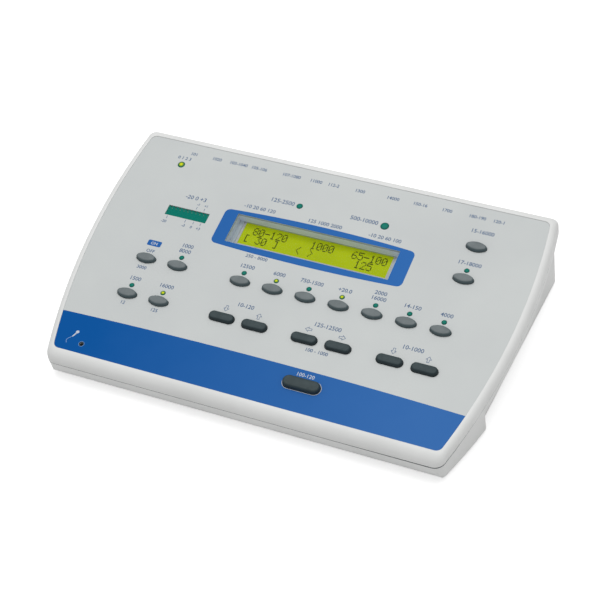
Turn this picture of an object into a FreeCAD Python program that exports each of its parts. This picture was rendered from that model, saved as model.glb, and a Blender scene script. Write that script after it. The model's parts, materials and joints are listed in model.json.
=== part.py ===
"""Desktop audiometer: a wedge-shaped console with a sloping key panel and sockets at the rear.

Everything is modelled in the panel's own frame, in millimetres: U to the right, V up the slope
from the panel's front edge, N out of the panel, with N = 0 on the printed face. Heights over
the table are taken in the level frame, which is the panel frame tilted back by TILT. The
finished pieces are moved to the part's frame: +Z up, origin under the middle, on the table.
"""
import FreeCAD, Part
import math
import os

# ---- Form of the console ------------------------------------------------------------------
TILT = 14.0              # slope of the panel, degrees
FRONT_HEIGHT = 18.0      # underside of the base to the panel's front edge
PANEL_DEPTH = 161.0      # front edge to rear edge of the printed panel
HALF_WIDTH = 130.9       # middle to the panel's edge where the panel is widest
WIDEST_V = 107.7         # how far up the slope that is
SIDE_RADIUS = 406.0      # bow of the panel's sides
PANEL_CORNER = 4.0
RIM_PROUD = 0.3          # rim above the printed face
RIM_SIDE = 4.3           # rim outside the panel's edge, at the sides
RIM_REAR = 5.2
NOSE = 7.5               # bull nose in front of the panel's edge
RIM_FLAT = 0.35          # flat ring between the panel's edge and the rounding
RIM_STEPS = 6            # sections through the rounding, besides the first
SIDE_ROUND = 4.0         # height of the rounding at the sides and rear
PARTING = 6.0            # printed face to the parting line
FRONT_CORNER = 6.5       # outer corners in plan
REAR_CORNER = 4.5
BAND = 4.5               # flush band of the base under the parting line
NOSE_TUCK = 2.2          # how far the nose curves back under itself
NOSE_DROP = 11.5         # over this height
LEG_DEPTH = 39.5         # front edge of the panel to the back of the flush front legs
GRIP_FRONT = 4.6         # finger ledge: base wall behind the band, at the legs
GRIP_REAR = 2.5          # and at the rear corners
TUB_CORNER = 3.5
LEG_CORNER = 4.3
WALL = 2.5
DECK = 2.5               # top case under the printed film
LIP = 1.2                # locating lip of the base inside the top case
LIP_RISE = 2.0
FIT_GAP = 0.15           # between pieces that locate in each other

# ---- Panel film, windows and display ------------------------------------------------------
FILM = 0.5
LAYOUT_U = 0.3                          # middle line of keys and display, off the case's
WINDOW_U, WINDOW_V = 102.2, 21.0        # display opening in the film
WINDOW_MIDDLE_V = 107.7
WINDOW_THICK = 1.0
WINDOW_MARGIN = 2.6                     # hidden under the film all round
DISPLAY_DEPTH = 6.9                     # printed face to the frame's ledge round the display
FRAME_WALL = 1.2
LEDGE = 0.5
BEZEL_SHOWN = 1.5                       # steel of the display left bare round its viewing area
VIEW_U, VIEW_V = 93.5, 15.8             # viewing area of the two-line display
VIEW_MIDDLE_V = 110.3
GLASS_BORDER = 2.0
GLASS_THICK = 1.8
SHIELD_SHEET = 0.3
LCD_BOARD_U, LCD_BOARD_V = 118.0, 36.0
METER_U, METER_V = 26.9, 7.3            # level bar window
METER_MIDDLE_U, METER_MIDDLE_V = -80.9, 109.5
METER_MARGIN = 1.5
METER_DEPTH = 6.0                       # printed face to the face of the bar

# ---- Keys, on a grid of 0.8 inch ----------------------------------------------------------
PITCH = 20.32
ROW_A = 72.3             # upper row of keys
ROW_B = 45.9             # lower row
OVAL_U, OVAL_V = 12.3, 6.4
OVAL_END = 0.62          # radius of an oval's ends, as a share of half its width
PILL_U, PILL_V = 15.5, 5.9
PRESENT_U, PRESENT_V = 22.2, 7.5
PRESENT_MIDDLE_V = 17.0
KEY_PROUD = 2.5          # key above the printed face
PRESENT_PROUD = 3.0
KEY_ROUND = 0.5
RIM_SEARCH = 0.01        # edges this close to a cap's top face are its top edges
KEY_GAP = 0.25           # round each key in the film and the deck
KEY_TRAVEL = 0.8
KEY_FLANGE = 1.0         # retaining flange under the deck, outside the key
KEY_FLANGE_THICK = 1.0
REST_GAP = 0.3           # flange under the deck, and switch under a pressed flange
STEM_RADIUS = 1.6
STEM_GAP = 0.1
STEM_REACH = 1.3         # stem inside the switch, key at rest
SWITCH_SIDE = 7.0
SWITCH_HEIGHT = 4.2

MENU_U = LAYOUT_U - 4.5 * PITCH + 0.4    # first column of the four keys at the left
TALK_U = LAYOUT_U + 4.5 * PITCH + 0.6    # the two talk keys at the right
TALKOVER_V = PANEL_DEPTH - 28.3
TALKBACK_V = (ROW_A + TALKOVER_V) / 2 + 6.9
OVAL_KEYS = {            # name: (U, V)
    "on_off_key": (MENU_U, ROW_A),
    "test_menu_key": (MENU_U + PITCH, ROW_A),
    "pulse_key": (LAYOUT_U - 1.5 * PITCH, ROW_A),
    "mask_key": (LAYOUT_U - 0.5 * PITCH, ROW_A),
    "constant_key": (LAYOUT_U + 0.5 * PITCH, ROW_A),
    "boost_key": (LAYOUT_U + 1.5 * PITCH, ROW_A),
    "free_field_key": (LAYOUT_U + 2.5 * PITCH, ROW_A),
    "speech_key": (LAYOUT_U + 3.5 * PITCH, ROW_A),
    "bone_key": (LAYOUT_U + 4.5 * PITCH, ROW_A),
    "left_key": (MENU_U, ROW_B),
    "right_key": (MENU_U + PITCH, ROW_B),
    "talkback_key": (TALK_U, TALKBACK_V),
    "talkover_key": (TALK_U, TALKOVER_V),
}
PILL_KEYS = {
    "signal_down_key": (LAYOUT_U - 1.5 * PITCH, ROW_B),
    "signal_up_key": (LAYOUT_U - 0.5 * PITCH, ROW_B),
    "frequency_down_key": (LAYOUT_U + 1.0 * PITCH, ROW_B),
    "frequency_up_key": (LAYOUT_U + 2.0 * PITCH, ROW_B),
    "masking_down_key": (LAYOUT_U + 3.5 * PITCH, ROW_B),
    "masking_up_key": (LAYOUT_U + 4.5 * PITCH, ROW_B),
}
PRESENT_MIDDLE_U = LAYOUT_U + 1.5 * PITCH

# ---- Indicator LEDs -----------------------------------------------------------------------
LED_RADIUS = 1.5         # the small ones, above the oval keys
LED_OFFSET = 6.3         # key to its LED, up the slope
LED_PROUD = 0.5
LED_GAP = 0.1
LED_FLANGE = 0.4
LED_FLANGE_THICK = 1.0
UNLIT_KEYS = ["test_menu_key", "pulse_key", "constant_key", "free_field_key", "speech_key",
              "bone_key", "left_key", "talkback_key"]
LIT_KEYS = ["mask_key", "boost_key", "right_key"]
SINGLE_LEDS = {          # name: (U, V, radius)
    "present_led": (-17.5, WINDOW_MIDDLE_V + 25.6, 1.9),
    "response_led": (36.4, WINDOW_MIDDLE_V + 25.3, 2.5),
    "power_led": (MENU_U - 9.7, PANEL_DEPTH - 17.1, 2.2),
}

# ---- Microphone ---------------------------------------------------------------------------
MIC_U, MIC_V = 29.7 - HALF_WIDTH, 6.2
MIC_HOLE = 1.0
MIC_RADIUS = 4.85
MIC_HEIGHT = 5.5
BOOT_WALL = 1.1
BOOT_FRONT = 1.5         # rubber between the deck and the capsule

# ---- Keypad board -------------------------------------------------------------------------
BOARD = 1.6              # thickness of every circuit board
BOARD_HALF_U = 4.5 * PITCH + 13.6
BOARD_V = (13.2, PANEL_DEPTH - 10.8)
CUTOUT_GAP = 2.0         # keypad board round the display module
POST_RADIUS = 3.0
EDGE_POSTS = [31.0, 92.0]               # V of the posts near the board's side edges
MIDDLE_POSTS = [31.0, 59.1]             # and on the middle line
REAR_POST_U = 85.0
POST_INSET = 5.5         # those posts in from the board's edges
LCD_HOLE_INSET = 2.5     # display board's edge to its fixing holes
LCD_POST_RADIUS = 2.4
ROOT = 0.5               # posts sunk into the plastic that carries them

# ---- Fasteners ----------------------------------------------------------------------------
SCREW_RADIUS = 1.25      # small thread-forming screws
SCREW_HEAD = 2.4
SCREW_HEAD_HEIGHT = 1.8
SCREW_LENGTH = 5.0
THREAD_GAP = 0.05
PILOT_SPARE = 0.5        # screw hole past the screw's tip
CASE_SCREW_RADIUS = 1.5
CASE_HEAD = 3.0
CASE_HEAD_HEIGHT = 2.2
CASE_SCREW_LENGTH = 12.0
PILLAR_INSET_U = 9.0     # pillars in from the panel's edges
PILLAR_INSET_V = 12.0
PILLAR_RADIUS = 4.0
PILLAR_SOCKET = 1.0      # lower pillars thicker than the upper ones, round the screw heads
PILLAR_MEET = 12.0       # printed face down to where upper and lower pillars meet
SEAT = 5.0               # plastic under each case screw's head

# ---- Main board and rear sockets ----------------------------------------------------------
MAIN_LIFT = 5.2          # underside of the base to the main board's front edge
MAIN_HALF_U = HALF_WIDTH - 18.9
MAIN_FRONT_V = PANEL_DEPTH - 79.0
MAIN_BOSS_RADIUS = 3.5
MAIN_HOLE_INSET = 4.0    # board's side edges to its fixing holes
MAIN_HOLES_BEHIND = [8.0, 58.0]         # those holes behind the board's front edge
CHIPS = [(20, 22, 14, 14, 2), (-12, 22, 10, 10, 2), (44, 18, 10, 7, 2), (44, 30, 10, 7, 2),
         (-40, 28, 18, 16, 12), (70, 24, 12, 12, 3)]    # U, behind the front edge, sizes
CAPACITORS_U = [-8, 4, 16]
CAPACITORS_BEHIND = 43.0
CAPACITOR_RADIUS = 4.0
CAPACITOR_HEIGHT = 11.0
CONNECTOR_U = -81.0
CONNECTOR_BEHIND = MAIN_HOLES_BEHIND[0] + 8.0
CONNECTOR_LENGTH = 25.4
CONNECTOR_WIDTH = 5.0
SOCKET_GAP = 0.3         # round each socket in the rear wall
LARGE_JACKS = [-30.6, 13.2, 33.8, 50.7, 67.3]
SMALL_JACKS = [-65.5, -52.3, -3.8, 85.7, 99.1]
LARGE_JACK = {"bore_radius": 3.25, "collar_radius": 4.75, "axis_height": 6.0, "width": 15.6,
              "height": 12.0, "length": 26.0, "proud": 4.0, "nut_half": 6.35, "depth": 30.0}
SMALL_JACK = {"bore_radius": 1.8, "collar_radius": 3.0, "axis_height": 4.5, "width": 9.0,
              "height": 9.0, "length": 14.0, "proud": 4.0, "nut_half": 4.5, "depth": 17.0}
NUT_THICK = 2.0
CORE_BACK = 1.0          # pins and tongues behind the mouth of their socket
USB = {"u": -96.0, "width": 12.0, "height": 10.9, "length": 16.0, "mouth_u": 8.5, "mouth_n": 7.8,
       "depth": 9.0, "tongue_u": 5.6, "tongue_n": 3.2}
DATA = {"u": -80.5, "width": 14.0, "height": 13.0, "length": 13.0, "shell_radius": 5.6,
        "ring_radius": 4.6, "core_radius": 3.6, "depth": 6.0}
POWER = {"u": -14.8, "width": 9.0, "height": 11.0, "length": 14.0, "bore_radius": 3.15,
         "pin_radius": 1.0, "depth": 9.0}

# ---- Feet ---------------------------------------------------------------------------------
FOOT_RADIUS = 6.0
FOOT_PROUD = 2.5
FOOT_RECESS = 0.8
FOOT_TAPER = 0.8
FRONT_FOOT_U = HALF_WIDTH - 38.9
REAR_FOOT_U = HALF_WIDTH - 26.9
REAR_FOOT_INSET = 16.0   # rear wall at the underside to the middle of a rear foot

PAST = 1.0               # cutting tools run this far past the faces that they open
DEEP = 80.0              # beyond the underside everywhere, for tools that cut right through

V3 = FreeCAD.Vector
SIN = math.sin(math.radians(TILT))
COS = math.cos(math.radians(TILT))
LEVEL = FreeCAD.Placement(V3(0, 0, FRONT_HEIGHT), FreeCAD.Rotation(V3(1, 0, 0), TILT))


# ---- Outlines and simple solids -----------------------------------------------------------
def half_width(v, side):
    """Half-width of the bowed outline at v, its sides moved out by side."""
    radius = SIDE_RADIUS + side
    return HALF_WIDTH - SIDE_RADIUS + math.sqrt(radius**2 - (v - WIDEST_V)**2)


def bowed_outline(n, side, front, rear, front_corner, rear_corner):
    """Closed outline at height n: the panel's edges moved out by side, front and rear."""
    bow = SIDE_RADIUS + side
    bow_u = HALF_WIDTH - SIDE_RADIUS

    def corner(line_v, radius, inward):
        centre_v = line_v + inward * radius
        reach = math.sqrt((bow - radius)**2 - (centre_v - WIDEST_V)**2)
        centre = V3(bow_u + reach, centre_v, n)
        outward = V3(reach, centre_v - WIDEST_V, 0).normalize()
        middle = (outward + V3(0, -inward, 0)).normalize()
        return V3(centre.x, line_v, n), centre + middle * radius, centre + outward * radius

    front_line, front_mid, front_bow = corner(-front, front_corner, 1)
    rear_line, rear_mid, rear_bow = corner(PANEL_DEPTH + rear, rear_corner, -1)
    widest = V3(HALF_WIDTH + side, WIDEST_V, n)

    def left(point):
        return V3(-point.x, point.y, point.z)

    edges = [
        Part.LineSegment(left(front_line), front_line),
        Part.Arc(front_line, front_mid, front_bow),
        Part.Arc(front_bow, widest, rear_bow),
        Part.Arc(rear_bow, rear_mid, rear_line),
        Part.LineSegment(rear_line, left(rear_line)),
        Part.Arc(left(rear_line), left(rear_mid), left(rear_bow)),
        Part.Arc(left(rear_bow), left(widest), left(front_bow)),
        Part.Arc(left(front_bow), left(front_mid), left(front_line)),
    ]
    return Part.Wire([edge.toShape() for edge in edges])


def prism(wire, n_top):
    """Solid from a flat outline up or down to height n_top."""
    n = wire.Vertexes[0].Z
    return Part.Face(wire).extrude(V3(0, 0, n_top - n))


def bowed_prism(n_low, n_high, side, front, rear, corner=PANEL_CORNER):
    return prism(bowed_outline(n_low, side, front, rear, corner, corner), n_high)


def block(u, v, size_u, size_v, n_low, n_high):
    """Box centred on (u, v) in plan."""
    return Part.makeBox(size_u, size_v, n_high - n_low, V3(u - size_u / 2, v - size_v / 2, n_low))


def post(u, v, radius, n_low, n_high):
    return Part.makeCylinder(radius, n_high - n_low, V3(u, v, n_low))


def floor_y(v):
    """Level distance back to where the plane at v, square to the panel, meets the underside."""
    return (v + FRONT_HEIGHT * SIN) / COS


def above_floor(lift):
    """Everything more than lift above the base's underside, inside a generous box."""
    size = 4 * HALF_WIDTH
    box = Part.makeBox(size, size, size, V3(-size / 2, -size / 2, lift))
    box.Placement = LEVEL.inverse().multiply(box.Placement)
    return box


def level_post(x, y, radius, z_low, z_high):
    """Upright cylinder of the level frame."""
    shape = Part.makeCylinder(radius, z_high - z_low, V3(x, y, z_low))
    shape.Placement = LEVEL.inverse().multiply(shape.Placement)
    return shape


def joined(shapes):
    """One shape of several solids, fused where they touch."""
    first = shapes[0]
    if len(shapes) == 1:
        return first
    return first.multiFuse(shapes[1:]).removeSplitter()


def group(shapes):
    """Several separate solids that share one node."""
    return Part.makeCompound(shapes)


def mirrored(places, middle=0.0):
    """Each (U, V) place on both sides of a middle line, U counted from that line."""
    return [(middle + side * u, v) for u, v in places for side in (-1, 1)]


# ---- Keys ---------------------------------------------------------------------------------
def oval_face(u, v, size_u, size_v, n):
    """Oval of four arcs that run into each other, two wide ones and two at the ends."""
    half_u, half_v = size_u / 2, size_v / 2
    end = OVAL_END * half_v
    wide = (half_u**2 + half_v**2 - 2 * half_u * end) / (2 * (half_v - end))
    lean = math.atan2(half_u - end, wide - half_v)     # of the line through both centres
    join_u = wide * math.sin(lean)
    join_v = wide * math.cos(lean) - (wide - half_v)
    low_left, low_right = V3(u - join_u, v - join_v, n), V3(u + join_u, v - join_v, n)
    top_right, top_left = V3(u + join_u, v + join_v, n), V3(u - join_u, v + join_v, n)
    edges = [
        Part.Arc(low_left, V3(u, v - half_v, n), low_right),
        Part.Arc(low_right, V3(u + half_u, v, n), top_right),
        Part.Arc(top_right, V3(u, v + half_v, n), top_left),
        Part.Arc(top_left, V3(u - half_u, v, n), low_left),
    ]
    return Part.Face(Part.Wire([edge.toShape() for edge in edges]))


def pill_face(u, v, size_u, size_v, n):
    """Slot shape with fully round ends."""
    radius = size_v / 2
    straight = size_u / 2 - radius
    low, high = v - radius, v + radius
    edges = [
        Part.LineSegment(V3(u - straight, low, n), V3(u + straight, low, n)),
        Part.Arc(V3(u + straight, low, n), V3(u + size_u / 2, v, n), V3(u + straight, high, n)),
        Part.LineSegment(V3(u + straight, high, n), V3(u - straight, high, n)),
        Part.Arc(V3(u - straight, high, n), V3(u - size_u / 2, v, n), V3(u - straight, low, n)),
    ]
    return Part.Face(Part.Wire([edge.toShape() for edge in edges]))


DECK_TOP = -FILM
DECK_LOW = DECK_TOP - DECK
FLANGE_TOP = DECK_LOW - REST_GAP
FLANGE_LOW = FLANGE_TOP - KEY_FLANGE_THICK
SWITCH_TOP = FLANGE_LOW - KEY_TRAVEL - REST_GAP
KEYPAD_TOP = SWITCH_TOP - SWITCH_HEIGHT
KEYPAD_LOW = KEYPAD_TOP - BOARD
STEM_LOW = SWITCH_TOP - STEM_REACH
WELL_LOW = STEM_LOW - KEY_TRAVEL - REST_GAP


def key_list():
    """Every key: name, outline function, U, V, size along U, size along V, height."""
    keys = []
    for name, (u, v) in OVAL_KEYS.items():
        keys.append((name, oval_face, u, v, OVAL_U, OVAL_V, KEY_PROUD))
    for name, (u, v) in PILL_KEYS.items():
        keys.append((name, pill_face, u, v, PILL_U, PILL_V, KEY_PROUD))
    keys.append(("present_key", pill_face, PRESENT_MIDDLE_U, PRESENT_MIDDLE_V,
                 PRESENT_U, PRESENT_V, PRESENT_PROUD))
    return keys


def key_cap(face, u, v, size_u, size_v, proud):
    """Keycap with rounded top edge, retaining flange and the stem that works its switch."""
    cap = face(u, v, size_u, size_v, FLANGE_LOW).extrude(V3(0, 0, proud - FLANGE_LOW))
    top_edges = [e for e in cap.Edges if e.BoundBox.ZMin > proud - RIM_SEARCH]
    cap = cap.makeFillet(KEY_ROUND, top_edges)
    flange = face(u, v, size_u + 2 * KEY_FLANGE, size_v + 2 * KEY_FLANGE, FLANGE_LOW)
    flange = flange.extrude(V3(0, 0, KEY_FLANGE_THICK))
    stem = post(u, v, STEM_RADIUS, STEM_LOW, FLANGE_LOW + KEY_FLANGE_THICK)
    return joined([cap, flange, stem])


def key_hole(face, u, v, size_u, size_v):
    hole = face(u, v, size_u + 2 * KEY_GAP, size_v + 2 * KEY_GAP, DECK_LOW - PAST)
    return hole.extrude(V3(0, 0, RIM_PROUD - DECK_LOW + 2 * PAST))


def key_switch(u, v):
    """Housing of one push switch, with the well that its stem slides in."""
    body = block(u, v, SWITCH_SIDE, SWITCH_SIDE, KEYPAD_TOP, SWITCH_TOP)
    return body.cut(post(u, v, STEM_RADIUS + STEM_GAP, WELL_LOW, SWITCH_TOP + PAST))


# ---- Indicator LEDs -----------------------------------------------------------------------
def led(u, v, radius):
    """Flanged LED standing on the keypad board, its chamfered nose through the panel."""
    body = post(u, v, radius, KEYPAD_TOP, LED_PROUD)
    body = body.makeChamfer(LED_PROUD, [e for e in body.Edges if e.BoundBox.ZMin > 0])
    foot = post(u, v, radius + LED_FLANGE, KEYPAD_TOP, KEYPAD_TOP + LED_FLANGE_THICK)
    return joined([body, foot])


def led_places(names):
    return [(OVAL_KEYS[name][0], OVAL_KEYS[name][1] + LED_OFFSET) for name in names]


def panel_holes():
    """Every hole that goes through both the printed film and the deck under it."""
    holes = [key_hole(face, u, v, size_u, size_v)
             for _, face, u, v, size_u, size_v, _ in key_list()]
    for u, v in led_places(UNLIT_KEYS + LIT_KEYS):
        holes.append(post(u, v, LED_RADIUS + LED_GAP, DECK_LOW - PAST, PAST))
    for u, v, radius in SINGLE_LEDS.values():
        holes.append(post(u, v, radius + LED_GAP, DECK_LOW - PAST, PAST))
    holes.append(post(MIC_U, MIC_V, MIC_HOLE, DECK_LOW - PAST, PAST))
    holes.append(window_block(0, DECK_LOW - PAST, PAST))
    holes.append(block(METER_MIDDLE_U, METER_MIDDLE_V, METER_U, METER_V, DECK_LOW - PAST, PAST))
    return holes


def rear_posts():
    return mirrored([(REAR_POST_U, BOARD_V[1] - POST_INSET)])


def keypad_posts():
    """Places of the posts that carry the keypad board."""
    edge = mirrored([(BOARD_HALF_U - POST_INSET, v) for v in EDGE_POSTS])
    return edge + [(0, v) for v in MIDDLE_POSTS] + rear_posts()


def lcd_holes():
    return mirrored([(LCD_BOARD_U / 2 - LCD_HOLE_INSET, VIEW_MIDDLE_V + side * half)
                     for half in [LCD_BOARD_V / 2 - LCD_HOLE_INSET] for side in (-1, 1)],
                    LAYOUT_U)


def pillars():
    """Places of the pillars that hold the two halves of the case together."""
    return mirrored([(half_width(v, 0) - PILLAR_INSET_U, v)
                     for v in (PILLAR_INSET_V, PANEL_DEPTH - PILLAR_INSET_V)])


def main_holes():
    return mirrored([(MAIN_HALF_U - MAIN_HOLE_INSET, MAIN_FRONT_V + behind)
                     for behind in MAIN_HOLES_BEHIND])


def window_block(margin, n_low, n_high):
    """The display opening, widened by margin all round, from n_low to n_high."""
    return block(LAYOUT_U, WINDOW_MIDDLE_V, WINDOW_U + 2 * margin, WINDOW_V + 2 * margin,
                 n_low, n_high)


# ---- Top case -----------------------------------------------------------------------------
def rim_section(angle):
    """Outline of the rounded rim where its front rounding has turned through angle."""
    rise = PARTING + RIM_PROUD
    depth = rise * (1 - math.sin(angle))
    under = min(depth, SIDE_ROUND)
    turn = math.sqrt(SIDE_ROUND**2 - (SIDE_ROUND - under)**2) / SIDE_ROUND
    side = RIM_FLAT + (RIM_SIDE - RIM_FLAT) * turn
    rear = RIM_FLAT + (RIM_REAR - RIM_FLAT) * turn
    front = RIM_FLAT + (NOSE - RIM_FLAT) * math.cos(angle)
    front_corner = PANEL_CORNER + (FRONT_CORNER - PANEL_CORNER) * turn
    rear_corner = PANEL_CORNER + (REAR_CORNER - PANEL_CORNER) * turn
    return bowed_outline(RIM_PROUD - depth, side, front, rear, front_corner, rear_corner)


LIP_OUT = {"side": RIM_SIDE - WALL - FIT_GAP, "front": NOSE - 1.5 * WALL - FIT_GAP,
           "rear": RIM_REAR - WALL - FIT_GAP}


def grown(offsets, amount):
    return {name: value + amount for name, value in offsets.items()}


def pilot(u, v, radius, length, n_mouth):
    """Blind screw hole going up from n_mouth."""
    return post(u, v, radius + THREAD_GAP, n_mouth - PAST, n_mouth + length + PILOT_SPARE)


GLASS_TOP = -DISPLAY_DEPTH - SHIELD_SHEET
LCD_BOARD_TOP = GLASS_TOP - GLASS_THICK
PLATE_LOW = DECK_TOP - WINDOW_THICK


def top_case():
    """Upper moulding: rounded rim, deck with its holes, pillars and posts under it."""
    sections = [rim_section(math.radians(90 * k / RIM_STEPS)) for k in range(RIM_STEPS + 1)]
    shell = Part.makeLoft(sections, True, False)
    shell = shell.cut(bowed_prism(-PARTING - PAST, DECK_LOW, **grown(LIP_OUT, FIT_GAP)))
    shell = shell.cut(bowed_prism(DECK_TOP, PAST, FIT_GAP, FIT_GAP, FIT_GAP))
    rebates = [
        window_block(WINDOW_MARGIN + FIT_GAP, PLATE_LOW, PAST),
        window_block(FRAME_WALL + FIT_GAP, DECK_LOW - PAST, PAST),
        block(METER_MIDDLE_U, METER_MIDDLE_V, METER_U + 2 * (METER_MARGIN + FIT_GAP),
              METER_V + 2 * (METER_MARGIN + FIT_GAP), PLATE_LOW, PAST),
    ]
    shell = shell.cut(group(panel_holes() + rebates))
    root = DECK_LOW + ROOT
    legs = [post(u, v, POST_RADIUS, KEYPAD_TOP, root) for u, v in keypad_posts()]
    legs += [post(u, v, LCD_POST_RADIUS, LCD_BOARD_TOP, root) for u, v in lcd_holes()]
    legs += [post(u, v, PILLAR_RADIUS, -PILLAR_MEET, root) for u, v in pillars()]
    shell = joined([shell] + legs)
    reach = SCREW_LENGTH - BOARD
    bores = [pilot(u, v, SCREW_RADIUS, reach, KEYPAD_TOP) for u, v in keypad_posts()]
    bores += [pilot(u, v, SCREW_RADIUS, reach, LCD_BOARD_TOP) for u, v in lcd_holes()]
    bores += [pilot(u, v, CASE_SCREW_RADIUS, CASE_SCREW_LENGTH - SEAT, -PILLAR_MEET)
              for u, v in pillars()]
    return shell.cut(group(bores))


# ---- Base case ----------------------------------------------------------------------------
def base_blank(inset=0.0):
    """Bowed blank of the base, its front curving back under the nose in one arc."""
    plan = prism(bowed_outline(-PARTING, RIM_SIDE - inset, NOSE - inset, RIM_REAR - inset,
                               FRONT_CORNER - inset, REAR_CORNER - inset), -DEEP)
    radius = (NOSE_DROP**2 + NOSE_TUCK**2) / (2 * NOSE_TUCK)
    half_turn = math.asin(NOSE_DROP / radius) / 2
    far = 2 * PANEL_DEPTH
    u = -2 * HALF_WIDTH
    start = V3(u, inset - NOSE, -PARTING)
    middle = start + V3(0, radius * (1 - math.cos(half_turn)), -radius * math.sin(half_turn))
    end = start + V3(0, NOSE_TUCK, -NOSE_DROP)
    low_front = V3(u, end.y, -DEEP)
    low_rear = V3(u, far, -DEEP)
    high_rear = V3(u, far, -PARTING)
    edges = [Part.Arc(start, middle, end), Part.LineSegment(end, low_front),
             Part.LineSegment(low_front, low_rear), Part.LineSegment(low_rear, high_rear),
             Part.LineSegment(high_rear, start)]
    profile = Part.Face(Part.Wire([edge.toShape() for edge in edges]))
    return plan.common(profile.extrude(V3(4 * HALF_WIDTH, 0, 0)))


def behind_legs(v):
    """Everything behind v, to cut a bowed blank down to the front legs."""
    return block(0, v + 2 * PANEL_DEPTH, 4 * HALF_WIDTH, 4 * PANEL_DEPTH, -2 * DEEP, 0)


def tub_prism(inset, v_front, n_low, n_high, corner):
    """Body of the base behind the legs: straight sides, drawn square to the panel."""
    rear_v = PANEL_DEPTH + RIM_REAR - inset
    front_u = half_width(LEG_DEPTH, RIM_SIDE) - GRIP_FRONT - inset
    rear_u = half_width(PANEL_DEPTH + RIM_REAR, RIM_SIDE) - GRIP_REAR - inset
    corners = [V3(-front_u, v_front, n_low), V3(front_u, v_front, n_low),
               V3(rear_u, rear_v, n_low), V3(-rear_u, rear_v, n_low)]
    solid = prism(Part.makePolygon(corners + corners[:1]), n_high)
    edges = [e for e in solid.Edges
             if e.BoundBox.ZLength > FILM and e.BoundBox.YMin > rear_v - FIT_GAP]
    return solid.makeFillet(corner, edges)


def feet_places():
    """Level X and Y of the feet, under the front legs and near the rear wall."""
    rear_y = floor_y(PANEL_DEPTH + RIM_REAR) - REAR_FOOT_INSET
    places = {}
    for side, word in ((-1, "left"), (1, "right")):
        places[f"foot_front_{word}"] = (side * FRONT_FOOT_U, LEG_DEPTH / 2)
        places[f"foot_rear_{word}"] = (side * REAR_FOOT_U, rear_y)
    return places


def base_outside():
    """Outer form of the base: band, legs and the body set in behind them, cut level."""
    band_low = -PARTING - BAND
    blank = base_blank()
    legs = blank.cut(behind_legs(LEG_DEPTH))
    rear_edges = [e for e in legs.Edges
                  if e.BoundBox.YMin > LEG_DEPTH - FIT_GAP and e.BoundBox.ZLength > DEEP / 2]
    legs = legs.makeFillet(LEG_CORNER, rear_edges)
    band = blank.common(block(0, PANEL_DEPTH / 2, 4 * HALF_WIDTH, 4 * PANEL_DEPTH, band_low, 0))
    tub = tub_prism(0, LEG_DEPTH - LEG_CORNER, -DEEP, band_low + WALL, TUB_CORNER)
    return joined([legs, band, tub]).common(above_floor(0))


def base_case():
    """Lower moulding: flush band and front legs, inset body, bosses and rear openings."""
    inside = above_floor(WALL)
    lip = grown(LIP_OUT, -LIP)
    pocket = bowed_prism(-PARTING - BAND + WALL, -PARTING + PAST, **lip)
    body_room = tub_prism(WALL, LEG_DEPTH - 2 * WALL, -DEEP, -PARTING, TUB_CORNER - WALL)
    leg_room = base_blank(WALL).cut(behind_legs(LEG_DEPTH - WALL))
    leg_room = leg_room.common(bowed_prism(-DEEP, -PARTING, RIM_SIDE - WALL, lip["front"], 0))
    tongue = bowed_prism(-PARTING - ROOT, -PARTING + LIP_RISE, **LIP_OUT)
    tongue = tongue.cut(bowed_prism(-PARTING - PAST, -PARTING + LIP_RISE + PAST, **lip))
    rooms = [pocket, body_room.common(inside), leg_room.common(inside)]
    shell = base_outside()
    for room in rooms:
        shell = shell.cut(room)
    shell = shell.fuse(tongue)

    main_low = BOARD_N - BOARD
    bosses = [post(u, v, MAIN_BOSS_RADIUS, -DEEP, main_low) for u, v in main_holes()]
    bosses += [post(u, v, PILLAR_RADIUS + PILLAR_SOCKET, -DEEP, -PILLAR_MEET)
               for u, v in pillars()]
    bosses = [boss.common(above_floor(WALL - ROOT)) for boss in bosses]
    shell = joined([shell] + bosses)

    cuts = [post(u, v, SCREW_RADIUS + THREAD_GAP, BOARD_N - SCREW_LENGTH - PILOT_SPARE,
                 main_low + PAST) for u, v in main_holes()]
    seat_n = -PILLAR_MEET - SEAT
    for u, v in pillars():
        cuts.append(post(u, v, CASE_SCREW_RADIUS + FIT_GAP, seat_n - PAST, -PILLAR_MEET + PAST))
        cuts.append(post(u, v, CASE_HEAD + FIT_GAP, -DEEP, seat_n))
    for x, y in feet_places().values():
        cuts.append(level_post(x, y, FOOT_RADIUS + FIT_GAP, -PAST, FOOT_RECESS))
    cuts += rear_openings()
    return shell.cut(group(cuts))


# ---- Rear sockets -------------------------------------------------------------------------
REAR_V = PANEL_DEPTH + RIM_REAR
SOCKET_BACK = REAR_V - WALL            # inner face of the rear wall
BOARD_N = BOARD - (FRONT_HEIGHT + MAIN_FRONT_V * SIN - MAIN_LIFT) / COS     # upper face


def rearward(u, n, radius, v_from, v_to):
    """Cylinder along the slope, as a socket's bore lies."""
    return Part.makeCylinder(radius, v_to - v_from, V3(u, v_from, n), V3(0, 1, 0))


def jack(u, size):
    """Board-mounted jack: body on the main board, threaded collar through the rear wall."""
    n = BOARD_N + size["axis_height"]
    body = block(u, SOCKET_BACK - size["length"] / 2, size["width"], size["length"],
                 BOARD_N, BOARD_N + size["height"])
    mouth = REAR_V + size["proud"]
    collar = rearward(u, n, size["collar_radius"], SOCKET_BACK - ROOT, mouth)
    bore = rearward(u, n, size["bore_radius"], mouth - size["depth"], mouth + PAST)
    return joined([body, collar]).cut(bore)


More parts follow.
